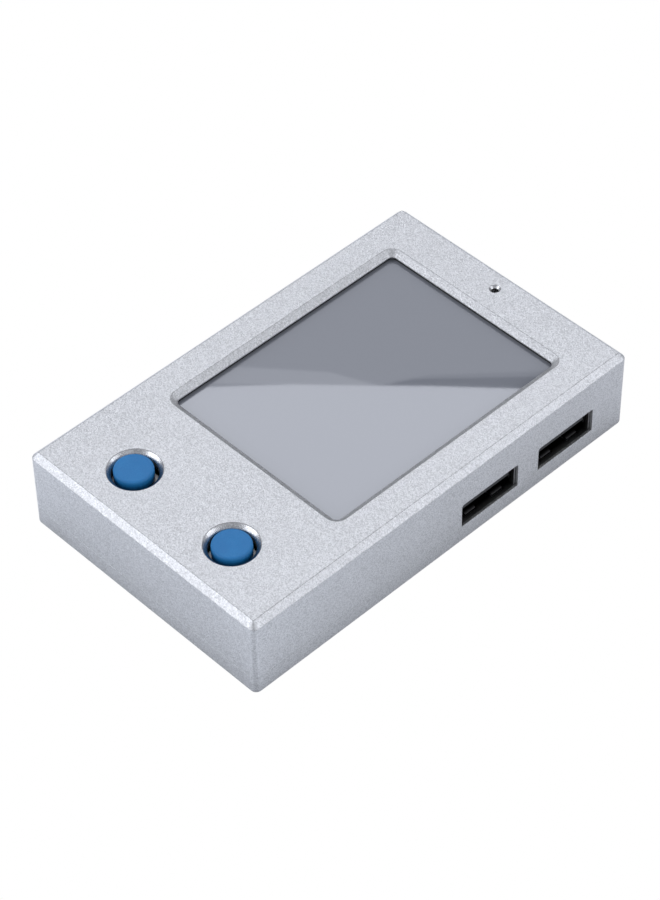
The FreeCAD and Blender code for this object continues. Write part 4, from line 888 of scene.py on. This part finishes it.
class Workshop:
    """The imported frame, and the ways in which pieces are put into it."""

    def __init__(self, frame: dict) -> None:
        """Take the loaded frame.
        """
        self.nodes: dict[str, bpy.types.Object] = frame["nodes"]

    def dress(self, piece: bpy.types.Object, finish: Finish) -> None:
        """Give a piece one finish.

        Args:
            piece: the object.
            finish: its finish.
        """
        if not piece.material_slots:
            piece.data.materials.append(finish.material())
        for slot in piece.material_slots:
            slot.material = finish.material()

    def add(self, piece: bpy.types.Object, body: Body, slot: Slot, *replaced: str) -> None:
        """Make a finished piece part of the object.

        Args:
            piece: the object.
            body: the body that it moves with.
            slot: the record's slot of its finish.
            replaced: CAD nodes that it stands for.
        """
        self.dress(piece, FINISHES[slot])
        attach(piece, body.value)
        if replaced:
            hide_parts(*replaced)
        stands = f", in place of {', '.join(replaced)}" if replaced else ""
        LOG.info("%s rides on %s%s", piece.name, body.value, stands)

    def keep(self, slots: dict[str, Slot]) -> None:
        """Show CAD nodes with their own meshes and a finish each.

        Args:
            slots: each node's name, with the slot whose finish it takes.
        """
        for node, slot in slots.items():
            self.dress(self.nodes[node], FINISHES[slot])
            LOG.info("%s keeps its solid", node)

    def welded(self, node: str) -> bmesh.types.BMesh:
        """Copy a CAD node's mesh with its corners joined and its flat faces whole.

        Args:
            node: the node's name.

        Returns:
            A working mesh.
        """
        work = bmesh.new()
        work.from_mesh(self.nodes[node].data)
        bmesh.ops.remove_doubles(work, verts=work.verts, dist=WELD_DISTANCE)
        bmesh.ops.dissolve_limit(work, angle_limit=FLAT_ANGLE, verts=work.verts,
                                 edges=work.edges, delimit={"NORMAL"})
        return work

    def broken(self, name: str, work: bmesh.types.BMesh, width: float,
               chosen: Callable[[Vector, Vector], bool], steps: int = 2) -> bpy.types.Object:
        """Break chosen edges of a working mesh and shade it smoothly.

        Args:
            name: the piece's name.
            work: the working mesh, which is used up.
            width: how far a broken edge reaches.
            chosen: the test of an edge's two ends.
            steps: faces across a broken edge.

        Returns:
            The new object, a plain mesh.
        """
        sharp = [edge for edge in work.edges
                 if edge.is_manifold and edge.calc_face_angle() > SHARP_ANGLE
                 and chosen(edge.verts[0].co, edge.verts[1].co)]
        bmesh.ops.bevel(work, geom=sharp, offset=width, offset_type="OFFSET",
                        segments=steps, profile=0.5, affect="EDGES", clamp_overlap=False)
        for face in work.faces:
            face.smooth = True
        for edge in work.edges:
            edge.smooth = not edge.is_manifold or edge.calc_face_angle() < SHARP_ANGLE
        made = linked(name, fresh_mesh(name, work))
        even = made.modifiers.new("even_shading", "WEIGHTED_NORMAL")
        even.weight, even.keep_sharp = SHADING_WEIGHT, True
        return flattened(made)

    def grown(self, name: str, tree: bpy.types.NodeTree, slot: Slot,
              **inputs: object) -> bpy.types.Object:
        """Run a Geometry Nodes tree and keep its result as a plain mesh.

        Args:
            name: the piece's name.
            tree: the tree.
            slot: the slot whose finish goes on the result.
            inputs: the tree's inputs, with "_" in place of each space in their names. The
                template is used up.

        Returns:
            The new object.
        """
        made = linked(name, bpy.data.meshes.new(name))
        modifier = made.modifiers.new(tree.name, "NODES")
        modifier.node_group = tree
        given = {"Finish": FINISHES[slot].material(),
                 **{label.replace("_", " "): value for label, value in inputs.items()}}
        for item in tree.interface.items_tree:
            if item.in_out == "INPUT" and item.name in given:
                modifier[item.identifier] = given[item.name]
        flattened(made)
        bpy.data.objects.remove(given["Template"])
        return made

    def merged(self, name: str, pieces: Sequence[bpy.types.Object]) -> bpy.types.Object:
        """Join pieces of one finish into one object.

        Args:
            name: the joined piece's name.
            pieces: the objects, which are used up.

        Returns:
            The joined object.
        """
        work = bmesh.new()
        for piece in pieces:
            work.from_mesh(piece.data)
            bpy.data.objects.remove(piece)
        return linked(name, fresh_mesh(name, work))


def flattened(piece: bpy.types.Object) -> bpy.types.Object:
    """Turn a piece's modifiers into its mesh.

    Args:
        piece: the object.

    Returns:
        The same object, without modifiers.
    """
    graph = bpy.context.evaluated_depsgraph_get()
    mesh = bpy.data.meshes.new_from_object(piece.evaluated_get(graph), depsgraph=graph)
    piece.modifiers.clear()
    piece.data = mesh
    mesh.name = piece.name
    return piece


# ---- sub-assemblies -----------------------------------------------------------------------


@dataclass(frozen=True)
class Rim:
    """A sloping edge of the top face: it rises from a loop of the shell with broken edges."""

    level: float
    run: float
    corner: float
    edge: float
    shrinks: bool = False
    steps: int = 3
    least_corner: float = 0.015 * MM

    def profile(self, top: float) -> list[tuple[float, float]]:
        """Give the slope's section from its foot to the top face.

        Args:
            top: height of the top face.

        Returns:
            Level distance from the loop, and height, of each point.
        """
        slope = Vector((self.run, top - self.level)).normalized() * self.edge
        foot, head = Vector((0.0, self.level)), Vector((self.run, top))
        low = self.bend(foot - Vector((0.0, self.edge)), foot, foot + slope)
        high = self.bend(head - slope, head, head + Vector((self.edge, 0.0)))
        return low + high

    def bend(self, start: Vector, corner: Vector, end: Vector) -> list[tuple[float, float]]:
        """Give points of a soft bend that replaces a sharp corner.

        Args:
            start: where the bend starts.
            corner: the sharp corner.
            end: where the bend ends.

        Returns:
            The points, both ends among them.
        """
        points = []
        for step in range(self.steps + 1):
            share = step / self.steps
            first, second = start.lerp(corner, share), corner.lerp(end, share)
            points.append(tuple(first.lerp(second, share)))
        return points

    def raise_loop(self, work: bmesh.types.BMesh, loop: list[bmesh.types.BMVert],
                   top: float) -> list[bmesh.types.BMEdge]:
        """Build the slope on a loop of the shell.

        Args:
            work: the shell's working mesh.
            loop: the loop's corners in order.
            top: height of the top face.

        Returns:
            The edges that the slope ends in, in the top face.
        """
        middle, size = (vector.xy for vector in span([vert.co for vert in loop]))
        half = size / 2
        corner = self.corner or half.x
        profile = self.profile(top)
        rays = []
        for vert in loop:
            signs = Vector((math.copysign(1, vert.co.x - middle.x),
                            math.copysign(1, vert.co.y - middle.y)))
            centre = middle + signs * (half - Vector((corner, corner)))
            rays.append((signs, (vert.co.xy - centre).normalized()))
            vert.co.z = profile[0][1]
        ring = loop
        for distance, height in profile[1:]:
            grow = -distance if self.shrinks else distance
            radius = max(corner + grow, self.least_corner)
            reach = half + Vector((grow - radius, grow - radius))
            above = []
            for signs, ray in rays:
                spot = middle + signs * reach + ray * radius
                above.append(work.verts.new((*spot, height)))
            for number, vert in enumerate(ring):
                after = (number + 1) % len(ring)
                work.faces.new((vert, ring[after], above[after], above[number]))
            ring = above
        return [work.edges.get((vert, ring[(number + 1) % len(ring)]))
                for number, vert in enumerate(ring)]


@dataclass
class CaseShells:
    """The two milled halves of the case, with their edges lightly broken."""

    shop: Workshop
    edge: float = 0.12 * MM
    fine_edge: float = 0.07 * MM
    chamfer: float = 1.12 * MM
    case_corner: float = 1.2 * MM
    window_drop: float = 0.92 * MM
    window_run: float = 1.2 * MM
    window_corner: float = 1.1 * MM
    hole_sink: float = 0.8 * MM
    pinhole_sink: float = 0.45 * MM
    least_slope: float = 0.3

    def build(self) -> None:
        """Make both halves."""
        low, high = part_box("top_shell")
        work = self.shop.welded("top_shell")
        self.rebuild_top(work, high.z)
        shell = self.shop.broken("shell_skin", work, self.fine_edge, self.slot_test(low, high))
        self.shop.add(shell, Body.CASE, Slot.CASE, "top_shell")
        self.shop.keep({"bottom_cover": Slot.CASE})

    def rebuild_top(self, work: bmesh.types.BMesh, top: float) -> None:
        """Replace the top face and its sloping edges by ones with broken edges.

        Args:
            work: the shell's working mesh.
            top: height of the top face.
        """
        rims = (
            Rim(top - self.chamfer, self.chamfer, self.case_corner, self.edge, shrinks=True),
            Rim(top - self.window_drop, self.window_run, self.window_corner, self.edge),
            Rim(top - self.hole_sink, self.hole_sink, 0.0, self.edge),
            Rim(top - self.pinhole_sink, self.pinhole_sink, 0.0, self.fine_edge),
        )
        worn = [f for f in work.faces if f.normal.z > self.least_slope
                and all(v.co.z > top - self.chamfer - SAME_LEVEL for v in f.verts)]
        bmesh.ops.delete(work, geom=worn, context="FACES")
        ends = []
        for loop in open_loops(work):
            rim = min(rims, key=lambda item: abs(item.level - loop[0].co.z))
            ends += rim.raise_loop(work, loop, top)
        bmesh.ops.triangle_fill(work, use_beauty=True, edges=ends, normal=(0.0, 0.0, 1.0))
        bmesh.ops.recalc_face_normals(work, faces=work.faces)

    def slot_test(self, low: Vector, high: Vector) -> Callable[[Vector, Vector], bool]:
        """Give a test for the edges of the two outlets' slots.

        Args:
            low: the shell's lowest corner.
            high: the shell's highest corner.

        Returns:
            The test.
        """
        def test(first: Vector, second: Vector) -> bool:
            """Say whether an edge is one of them.

            Args:
                first: one end of the edge.
                second: its other end.

            Returns:
                True if it runs round a slot, away from the joint line.
            """
            ends = (first, second)
            on_side = all(abs(end.x - high.x) < SAME_LEVEL for end in ends)
            at_joint = all(end.z < low.z + self.edge for end in ends)
            inside = all(end.z < high.z - self.chamfer * 2
                         and abs(end.y) < high.y - self.case_corner * 2 for end in ends)
            return on_side and inside and not at_joint
        return test


@dataclass
class Fasteners:
    """The cover's countersunk screws and the board's pan-head screws."""

    shop: Workshop
    edge: float = 0.05 * MM
    board_turn: float = 2.6
    cover_turn: float = 0.7
    board_seed: int = 5
    cover_seed: int = 11

    def build(self) -> None:
        """Make both sets of screws from one of each."""
        template, middle = self.template("cover_screws")
        screws = self.shop.grown(
            "cover_screw_set", grid_tree(), Slot.FASTENER, Template=template, Columns=2, Rows=2,
            Column_Pitch=middle.x * 2, Row_Pitch=middle.y * 2, Middle=(0.0, 0.0, middle.z),
            Turn_Spread=self.cover_turn, Seed=self.cover_seed)
        self.shop.add(screws, Body.CASE, Slot.FASTENER, "cover_screws")
        pairs = []
        for number, front in enumerate((True, False)):
            template, middle = self.template("board_screws", front)
            pairs.append(self.shop.grown(
                f"board_screw_pair_{number}", grid_tree(), Slot.FASTENER, Template=template,
                Columns=2, Rows=1, Column_Pitch=middle.x * 2, Row_Pitch=0.0,
                Middle=(0.0, middle.y, middle.z), Turn_Spread=self.board_turn,
                Seed=self.board_seed + number))
        screws = self.shop.merged("board_screw_set", pairs)
        self.shop.add(screws, Body.CASE, Slot.FASTENER, "board_screws")

    def template(self, node: str, front: bool = False) -> tuple[bpy.types.Object, Vector]:
        """Take one screw out of a set, with its edges broken and its place taken away.

        Args:
            node: the set's node.
            front: take a screw from the button end instead of the indicator end.

        Returns:
            The template, and where that screw's axis and middle height are.
        """
        work = self.shop.welded(node)
        others = [v for v in work.verts if v.co.x < 0 or (v.co.y < 0) != front]
        bmesh.ops.delete(work, geom=others, context="VERTS")
        middle, _ = span([vert.co for vert in work.verts])
        bmesh.ops.translate(work, verts=work.verts, vec=-middle)
        screw = self.shop.broken(f"{node}_template", work, self.edge, self.on_head, steps=1)
        return screw, middle

    def on_head(self, first: Vector, second: Vector) -> bool:
        """Say whether an edge between two points lies in the lower half, where the head is."""
        return first.z + second.z < 0


@dataclass
class Buttons:
    """The two push buttons: caps, plungers and their switches."""

    shop: Workshop
    rim: float = 0.5 * MM
    dish: float = 0.05 * MM
    dish_bend: tuple[float, float] = (0.45, 0.75)
    foot: float = 0.12 * MM
    rim_steps: int = 7
    faces: int = 72
    dome_keep: float = 0.3

    def build(self) -> None:
        """Make the caps and dress what is under them."""
        for side, body in (("left", Body.LEFT), ("right", Body.RIGHT)):
            self.shop.add(self.cap(side), body, Slot.BUTTON, f"{side}_button_cap")
            self.snap_dome(side)
            self.shop.keep({
                f"{side}_switch_plunger": Slot.PLUNGER, f"{side}_switch_base": Slot.SWITCH,
                f"{side}_switch_cover": Slot.SPRING, f"{side}_switch_terminals": Slot.TERMINAL})

    def snap_dome(self, side: str) -> None:
        """Make one snap dome, a copy of the CAD dome's mesh that rides on the case.

        Args:
            side: "left" or "right".
        """
        node = f"{side}_switch_dome"
        dome = linked(f"{side}_snap_dome", self.shop.nodes[node].data.copy())
        self.shop.add(dome, Body.CASE, Slot.SPRING, node)
        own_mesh(dome)

    def cap(self, side: str) -> bpy.types.Object:
        """Turn one cap: a softly rounded rim, a barely dished face and a bore for the plunger.

        Args:
            side: "left" or "right".

        Returns:
            The cap.
        """
        low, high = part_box(f"{side}_button_cap")
        stem_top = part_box(f"{side}_switch_plunger")[1].z
        radius = (high.x - low.x) / 2
        bore = self.bore(side)
        top, foot = high.z, low.z
        profile = [(0.0, top - self.dish),
                   (radius * self.dish_bend[0], top - self.dish * self.dish_bend[1])]
        inner = radius - self.rim
        for step in range(self.rim_steps + 1):
            turn = math.pi / 2 * step / self.rim_steps
            profile.append((inner + self.rim * math.sin(turn),
                            top - self.rim * (1 - math.cos(turn))))
        profile += [(radius, foot + self.foot), (radius - self.foot, foot), (bore, foot),
                    (bore, stem_top), (0.0, stem_top)]
        mesh = lathed(f"{side}_cap_skin", profile, self.faces)
        middle = (low + high) / 2
        mesh.transform(Matrix.Translation((middle.x, middle.y, 0.0)))
        return linked(f"{side}_cap_skin", mesh)

    def bore(self, side: str) -> float:
        """Read the radius of the cap's bore from the CAD cap's foot.

        Args:
            side: "left" or "right".

        Returns:
            The bore's radius.
        """
        low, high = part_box(f"{side}_button_cap")
        middle = (low + high) / 2
        mesh = self.shop.nodes[f"{side}_button_cap"].data
        return min(math.hypot(v.co.x - middle.x, v.co.y - middle.y) for v in mesh.vertices
                   if abs(v.co.z - low.z) < SAME_LEVEL)


@dataclass
class Display:
    """The display with its film, gasket, carrier and ribbon."""

    shop: Workshop

    def build(self) -> None:
        """Dress the display's pieces."""
        self.shop.keep({
            "display_film": Slot.FILM, "display_glass": Slot.GLASS,
            "display_gasket": Slot.GASKET, "display_backlight": Slot.BACKLIGHT,
            "display_tray": Slot.TRAY, "display_carrier": Slot.CARRIER,
            "display_ribbon": Slot.RIBBON, "ribbon_connector": Slot.CONNECTOR})


@dataclass
class Sockets:
    """The two outlets and the inlet, with the solder on their pins."""

    shop: Workshop
    solder_foot: float = 0.85 * MM
    solder_neck: float = 0.5 * MM
    solder_rise: float = 0.42 * MM
    solder_sink: float = 0.02 * MM
    solder_curve: tuple[float, float] = (0.5, 1.6)
    solder_steps: int = 5
    solder_faces: int = 20
    solder_seed: int = 3
    tail_middle: float = 0.125 * MM
    pair_pitches: tuple[float, float] = (2.0 * MM, 7.0 * MM)

    def build(self) -> None:
        """Dress the sockets and make the solder joints."""
        for name in ("front_output", "rear_output", "input"):
            self.shop.keep({f"{name}_shell": Slot.SOCKET, f"{name}_insulator": Slot.TONGUE,
                            f"{name}_contacts": Slot.CONTACT})
        joints = []
        board_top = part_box("circuit_board")[1].z
        for end in ("front", "rear"):
            low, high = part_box(f"{end}_output_contacts")
            tail_x = low.x + self.tail_middle
            for pitch in self.pair_pitches:
                joints.append(self.shop.grown(
                    f"{end}_solder_{len(joints)}", grid_tree(), Slot.TERMINAL,
                    Template=self.fillet(), Columns=1, Rows=2, Column_Pitch=0.0,
                    Row_Pitch=pitch, Middle=(tail_x, (low.y + high.y) / 2, board_top),
                    Turn_Spread=math.pi, Seed=self.solder_seed))
        solder = self.shop.merged("socket_solder", joints)
        self.shop.add(solder, Body.CASE, Slot.TERMINAL)

    def fillet(self) -> bpy.types.Object:
        """Make one solder joint, a hollow cone that climbs a pin.

        Returns:
            The template.
        """
        foot, neck, rise = self.solder_foot, self.solder_neck, self.solder_rise
        inward, upward = self.solder_curve
        profile = [(0.0, -self.solder_sink), (foot, -self.solder_sink), (foot, 0.0)]
        for step in range(1, self.solder_steps + 1):
            share = step / self.solder_steps
            profile.append((foot + (neck - foot) * share ** inward, rise * share ** upward))
        profile.append((0.0, rise))
        return linked("solder_template", lathed("solder_template", profile, self.solder_faces))


@dataclass(frozen=True)
class Chip:
    """A chip under the board: leads to a row, their pitch, and how many sides have a row."""

    name: str
    middle: tuple[float, float]
    reach: float
    count: int
    pitch: float
    sides: int
    width: float


@dataclass(frozen=True)
class EndCaps:
    """Tinned ends of chip parts: their middle, how they repeat, and the size of one."""

    name: str
    node: str
    columns: int
    rows: int
    length: float
    along_x: bool


@dataclass
class Board:
    """The circuit board and what is soldered to it."""

    shop: Workshop
    lead_sheet: float = 0.12 * MM
    lead_run: float = 0.95 * MM
    lead_bend: float = 0.5 * MM
    lead_root: float = 0.05 * MM
    plating: float = 0.015 * MM
    chips: tuple[Chip, ...] = (
        Chip("microcontroller_leads", (-10.15 * MM, -12.175 * MM), 3.5 * MM, 12, 0.5 * MM, 4,
             0.22 * MM),
        Chip("regulator_leads", (1.85 * MM, -12.17 * MM), 1.95 * MM, 4, 1.27 * MM, 2, 0.4 * MM),
        Chip("front_load_switch_leads", (7.3 * MM, 10.075 * MM), 2.5 * MM, 4, 1.27 * MM, 2,
             0.4 * MM),
        Chip("rear_load_switch_leads", (7.3 * MM, 28.375 * MM), 2.5 * MM, 4, 1.27 * MM, 2,
             0.4 * MM),
    )
    end_caps: tuple[EndCaps, ...] = (
        EndCaps("capacitor_ends", "ceramic_capacitors", 2, 4, 0.4 * MM, True),
        EndCaps("shunt_ends", "current_shunt", 1, 2, 0.7 * MM, False),
    )

    def build(self) -> None:
        """Dress the board's pieces, and add the leads and tinned ends that solder them."""
        self.shop.keep({
            "circuit_board": Slot.BOARD, "indicator_light": Slot.INDICATOR,
            "microcontroller": Slot.CHIP, "clock_crystal": Slot.CAN,
            "voltage_regulator": Slot.CHIP, "power_inductor": Slot.FERRITE,
            "current_shunt": Slot.CHIP, "load_switches": Slot.CHIP,
            "bulk_capacitors": Slot.CAN, "ceramic_capacitors": Slot.CERAMIC})
        for chip in self.chips:
            self.leads(chip)
        for ends in self.end_caps:
            self.ends(ends)

    def leads(self, chip: Chip) -> None:
        """Set rows of bent leads round a chip.

        Args:
            chip: the chip.
        """
        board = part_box("circuit_board")[0].z
        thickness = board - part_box("voltage_regulator")[0].z
        root, sheet, bend = -thickness / 2, self.lead_sheet, self.lead_bend
        outline = ((-self.lead_root, root - sheet / 2), (bend, root - sheet / 2),
                   (bend, -sheet), (self.lead_run, -sheet), (self.lead_run, 0.0),
                   (bend - sheet, 0.0), (bend - sheet, root + sheet / 2),
                   (-self.lead_root, root + sheet / 2))
        template = linked("lead_template", extruded("lead_template", outline, chip.width))
        made = self.shop.grown(
            chip.name, ring_tree(), Slot.TERMINAL, Template=template, Count=chip.count,
            Pitch=chip.pitch, Reach=chip.reach, Sides=chip.sides, Middle=(*chip.middle, board))
        self.shop.add(made, Body.CASE, Slot.TERMINAL)

    def ends(self, ends: EndCaps) -> None:
        """Set tinned ends on chip parts that lie in rows.

        Args:
            ends: the ends.
        """
        low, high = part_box(ends.node)
        body = self.body(ends.node)
        pitch = (high - low - body) / max(ends.rows - 1, 1)
        size = body + Vector((self.plating, self.plating, self.plating)) * 2
        if ends.along_x:
            columns, rows = body.x - ends.length, pitch.y
            size.x = ends.length
        else:
            columns, rows = 0.0, body.y - ends.length
            size.y = ends.length
        half = size / 2
        outline = ((-half.y, -half.z), (half.y, -half.z), (half.y, half.z), (-half.y, half.z))
        template = linked("end_template", extruded("end_template", outline, size.x))
        made = self.shop.grown(
            ends.name, grid_tree(), Slot.TERMINAL, Template=template, Columns=ends.columns,
            Rows=ends.rows, Column_Pitch=columns, Row_Pitch=rows,
            Middle=tuple((low + high) / 2 - Vector((0.0, 0.0, self.plating))),
            Turn_Spread=0.0, Seed=0)
        self.shop.add(made, Body.CASE, Slot.TERMINAL)

    def body(self, node: str) -> Vector:
        """Give the size of the first of a node's separate solids.

        Args:
            node: the node's name.

        Returns:
            The solid's size.
        """
        work = self.shop.welded(node)
        work.verts.ensure_lookup_table()
        reached, ahead = set(), [work.verts[0]]
        while ahead:
            vert = ahead.pop()
            if vert not in reached:
                reached.add(vert)
                ahead += [edge.other_vert(vert) for edge in vert.link_edges]
        _, size = span([vert.co for vert in reached])
        work.free()
        return size


# ---- studio -------------------------------------------------------------------------------


def facing(azimuth: float, elevation: float) -> Vector:
    """Give a direction.

    Args:
        azimuth: degrees, 0 towards -Y and 90 towards +X.
        elevation: degrees above the floor.

    Returns:
        The direction's unit vector.
    """
    turn, rise = math.radians(azimuth), math.radians(elevation)
    return Vector((math.sin(turn) * math.cos(rise), -math.cos(turn) * math.cos(rise),
                   math.sin(rise)))


@dataclass(frozen=True)
class Card:
    """A soft light: where its middle hangs, how it is turned, its size and its strength."""

    name: str
    azimuth: float
    elevation: float
    distance: float
    width: float
    height: float
    radiance: float
    upright: bool = False
    roll: float = 0.0

    def build(self, colour: Colour) -> None:
        """Hang the card.

        Args:
            colour: the light's colour.
        """
        light = bpy.data.lights.new(self.name, "AREA")
        light.shape = "RECTANGLE"
        light.size, light.size_y = self.width, self.height
        light.energy = self.radiance * self.width * self.height * math.pi
        light.color = colour
        made = linked(self.name, light)
        made.location = facing(self.azimuth, self.elevation) * self.distance
        back = facing(self.azimuth, 0.0 if self.upright else self.elevation)
        turn = back.to_track_quat("Z", "Y").to_matrix() @ Matrix.Rotation(self.roll, 3, "Z")
        made.rotation_euler = turn.to_euler()
        made.visible_camera = False
        LOG.info("%s hangs at %.0f degrees", self.name, self.elevation)


def flat_face(name: str, spots: Sequence[Sequence[float]],
              material: bpy.types.Material) -> bpy.types.Mesh:
    """Make a flat sheet of one face.

    Args:
        name: the mesh's name.
        spots: its corners.
        material: its material.

    Returns:
        The mesh.
    """
    mesh = bpy.data.meshes.new(name)
    mesh.from_pydata([tuple(spot) for spot in spots], [], [tuple(range(len(spots)))])
    mesh.materials.append(material)
    return mesh


@dataclass(frozen=True)
class Panel:
    """A flat piece of the room that only reflections see: its corners and its strength."""

    name: str
    outline: tuple[tuple[float, float], ...]
    radiance: float
    distance: float = 0.99
    azimuth: float = 225.0

    def build(self, colour: Colour) -> None:
        """Hang the panel upright, with its outline given along it and up from the floor.

        Args:
            colour: the panel's colour.
        """
        back = facing(self.azimuth, 0.0)
        along = Vector((back.y, -back.x, 0.0))
        spots = [back * self.distance + along * across + Vector((0.0, 0.0, up))
                 for across, up in self.outline]
        material = bpy.data.materials.new(f"{self.name}_face")
        graph = cleared(material)
        graph.leave(graph.node("ShaderNodeEmission", {"Color": colour, "Strength": self.radiance}))
        panel = linked(self.name, flat_face(self.name, spots, material))
        for kind in ("camera", "diffuse", "transmission", "volume_scatter", "shadow"):
            setattr(panel, f"visible_{kind}", False)
        LOG.info("%s hangs in the room", self.name)


@dataclass
class Studio:
    """A pale floor, soft light and the camera."""

    floor_size: float = 3.0
    camera_place: Place = (0.24979, -0.239185, 0.36076)
    camera_azimuth: float = 46.34
    camera_elevation: float = 45.83
    camera_roll: float = -0.90
    camera_lens: float = 118.21
    camera_sensor: float = 36.0
    camera_clip: tuple[float, float] = (0.01, 20.0)
    light_colour: Colour = (0.968, 1.0, 1.085)
    sky: float = 0.7
    horizon: float = 0.2
    horizon_reach: tuple[float, float] = (0.02, 0.3)
    floor_colour: Colour = (0.65, 0.685, 0.745)
    floor_shade: Colour = (0.5, 0.52, 0.565)
    floor_fade: tuple[float, float] = (0.0, 0.1)
    case_reach: tuple[float, float] = (26.65 * MM, 43.175 * MM)
    shadow_reach: float = 5.0 * MM
    shadow: float = 0.72
    floor_glow: float = 0.25
    cards: tuple[Card, ...] = (
        Card("back_card", 225.0, 55.72, 1.7755, 1.7, 0.95, 1.6, upright=True, roll=0.044),
        Card("front_card", 325.0, 29.0, 1.3, 1.1, 0.65, 2.25),
        Card("right_card", 124.0, 25.0, 1.3, 0.9, 0.4, 2.3),
    )
    panels: tuple[Panel, ...] = (
        Panel("dark_strip", ((0.01, 0.984), (0.03, 0.979), (0.5, 0.965), (0.5, 1.003)), 0.0),
        Panel("dim_strip", ((0.012, 0.982), (0.04, 0.9755), (0.5, 0.9535), (0.5, 0.965),
                            (0.03, 0.979)), 0.45),
        Panel("pale_wedge", ((0.008, 0.985), (-0.4, 0.977), (-0.4, 0.942), (-0.023, 0.973)),
              1.12),
        Panel("mid_strip", ((-0.023, 0.973), (0.04, 0.974), (0.04, 0.9853), (0.009, 0.9853),
                            (-0.023, 0.9832)), 0.7, distance=0.9902),
    )

    def build(self) -> None:
        """Make the whole studio."""
        self.lay_floor()
        self.light_sky()
        for light in (*self.cards, *self.panels):
            light.build(self.light_colour)
        self.set_camera()

    def lay_floor(self) -> None:
        """Lay the floor: white to the eye, softly shaded in reflections, and open from below."""
        half = self.floor_size / 2
        material = bpy.data.materials.new("pale_floor")
        floor = linked("floor", flat_face("floor", (
            (-half, -half, 0), (half, -half, 0), (half, half, 0), (-half, half, 0)), material))
        graph = cleared(material)
        across, along, _ = graph.apart(graph.place())
        shade = graph.spread(graph.math("ADD", across, along), 0.0, 1.0, self.floor_fade)
        # Painted shadow: the floor darkens, and glows less, near the case's outline.
        gaps = [graph.beyond(way, reach)
                for way, reach in zip((across, along), self.case_reach)]
        contact_shadow = graph.spread(graph.math("MAXIMUM", *gaps), self.shadow, 1.0,
                              (0.0, self.shadow_reach))
        tone = graph.mix(shade, self.floor_colour, self.floor_shade)
        paper = graph.node("ShaderNodeBsdfDiffuse", {
            "Color": graph.mix(contact_shadow, grey(0.0), tone)})
        glow = graph.node("ShaderNodeEmission", {
            "Strength": graph.math("MULTIPLY", contact_shadow, self.floor_glow)})
        both = graph.node("ShaderNodeAddShader", {0: paper.outputs[0], 1: glow.outputs[0]})
        path, where = graph.node("ShaderNodeLightPath"), graph.node("ShaderNodeNewGeometry")
        white, clear = graph.node("ShaderNodeEmission"), graph.node("ShaderNodeBsdfTransparent")
        seen = graph.chosen(path.outputs["Is Camera Ray"], both, white)
        graph.leave(graph.chosen(where.outputs["Backfacing"], seen, clear))

    def light_sky(self) -> None:
        """Light the room evenly above a dim horizon, and show it white."""
        world = bpy.data.worlds.new("room")
        bpy.context.scene.world = world
        graph = cleared(world)
        rise = graph.apart(graph.node("ShaderNodeTexCoord").outputs["Generated"])[2]
        strength = graph.spread(graph.math("ABSOLUTE", rise), self.horizon, self.sky,
                                self.horizon_reach)
        room = graph.node("ShaderNodeBackground", {
            "Color": self.light_colour, "Strength": strength})
        white = graph.node("ShaderNodeBackground", {"Color": grey(1.0)})
        path = graph.node("ShaderNodeLightPath")
        graph.leave(graph.chosen(path.outputs["Is Camera Ray"], room, white), "World")
        bpy.context.scene.view_settings.view_transform = "Standard"

    def set_camera(self) -> None:
        """Set up the camera."""
        data = bpy.data.cameras.new("camera")
        data.lens, data.sensor_width = self.camera_lens, self.camera_sensor
        data.clip_start, data.clip_end = self.camera_clip
        back = facing(self.camera_azimuth, self.camera_elevation)
        right = Vector((0, 0, 1)).cross(back).normalized()
        up = back.cross(right)
        roll = math.radians(self.camera_roll)
        turned_right = right * math.cos(roll) + up * math.sin(roll)
        turned_up = up * math.cos(roll) - right * math.sin(roll)
        frame = Matrix((turned_right, turned_up, back)).transposed().to_4x4()
        frame.translation = self.camera_place
        camera = linked("camera", data)
        camera.matrix_world = frame
        bpy.context.scene.camera = camera
        LOG.info("camera stands %.3f m from the middle", camera.location.length)


# ---- all together -------------------------------------------------------------------------


def main() -> None:
    """Load the frame, dress every sub-assembly, light it and set the camera."""
    logging.basicConfig(level=logging.INFO, format="%(name)s: %(message)s")
    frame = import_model()
    shop = Workshop(frame)
    for assembly in (CaseShells, Fasteners, Buttons, Display, Sockets, Board):
        assembly(shop).build()
        LOG.info("%s done", assembly.__name__)
    Studio().build()


if __name__ == "__main__":
    main()
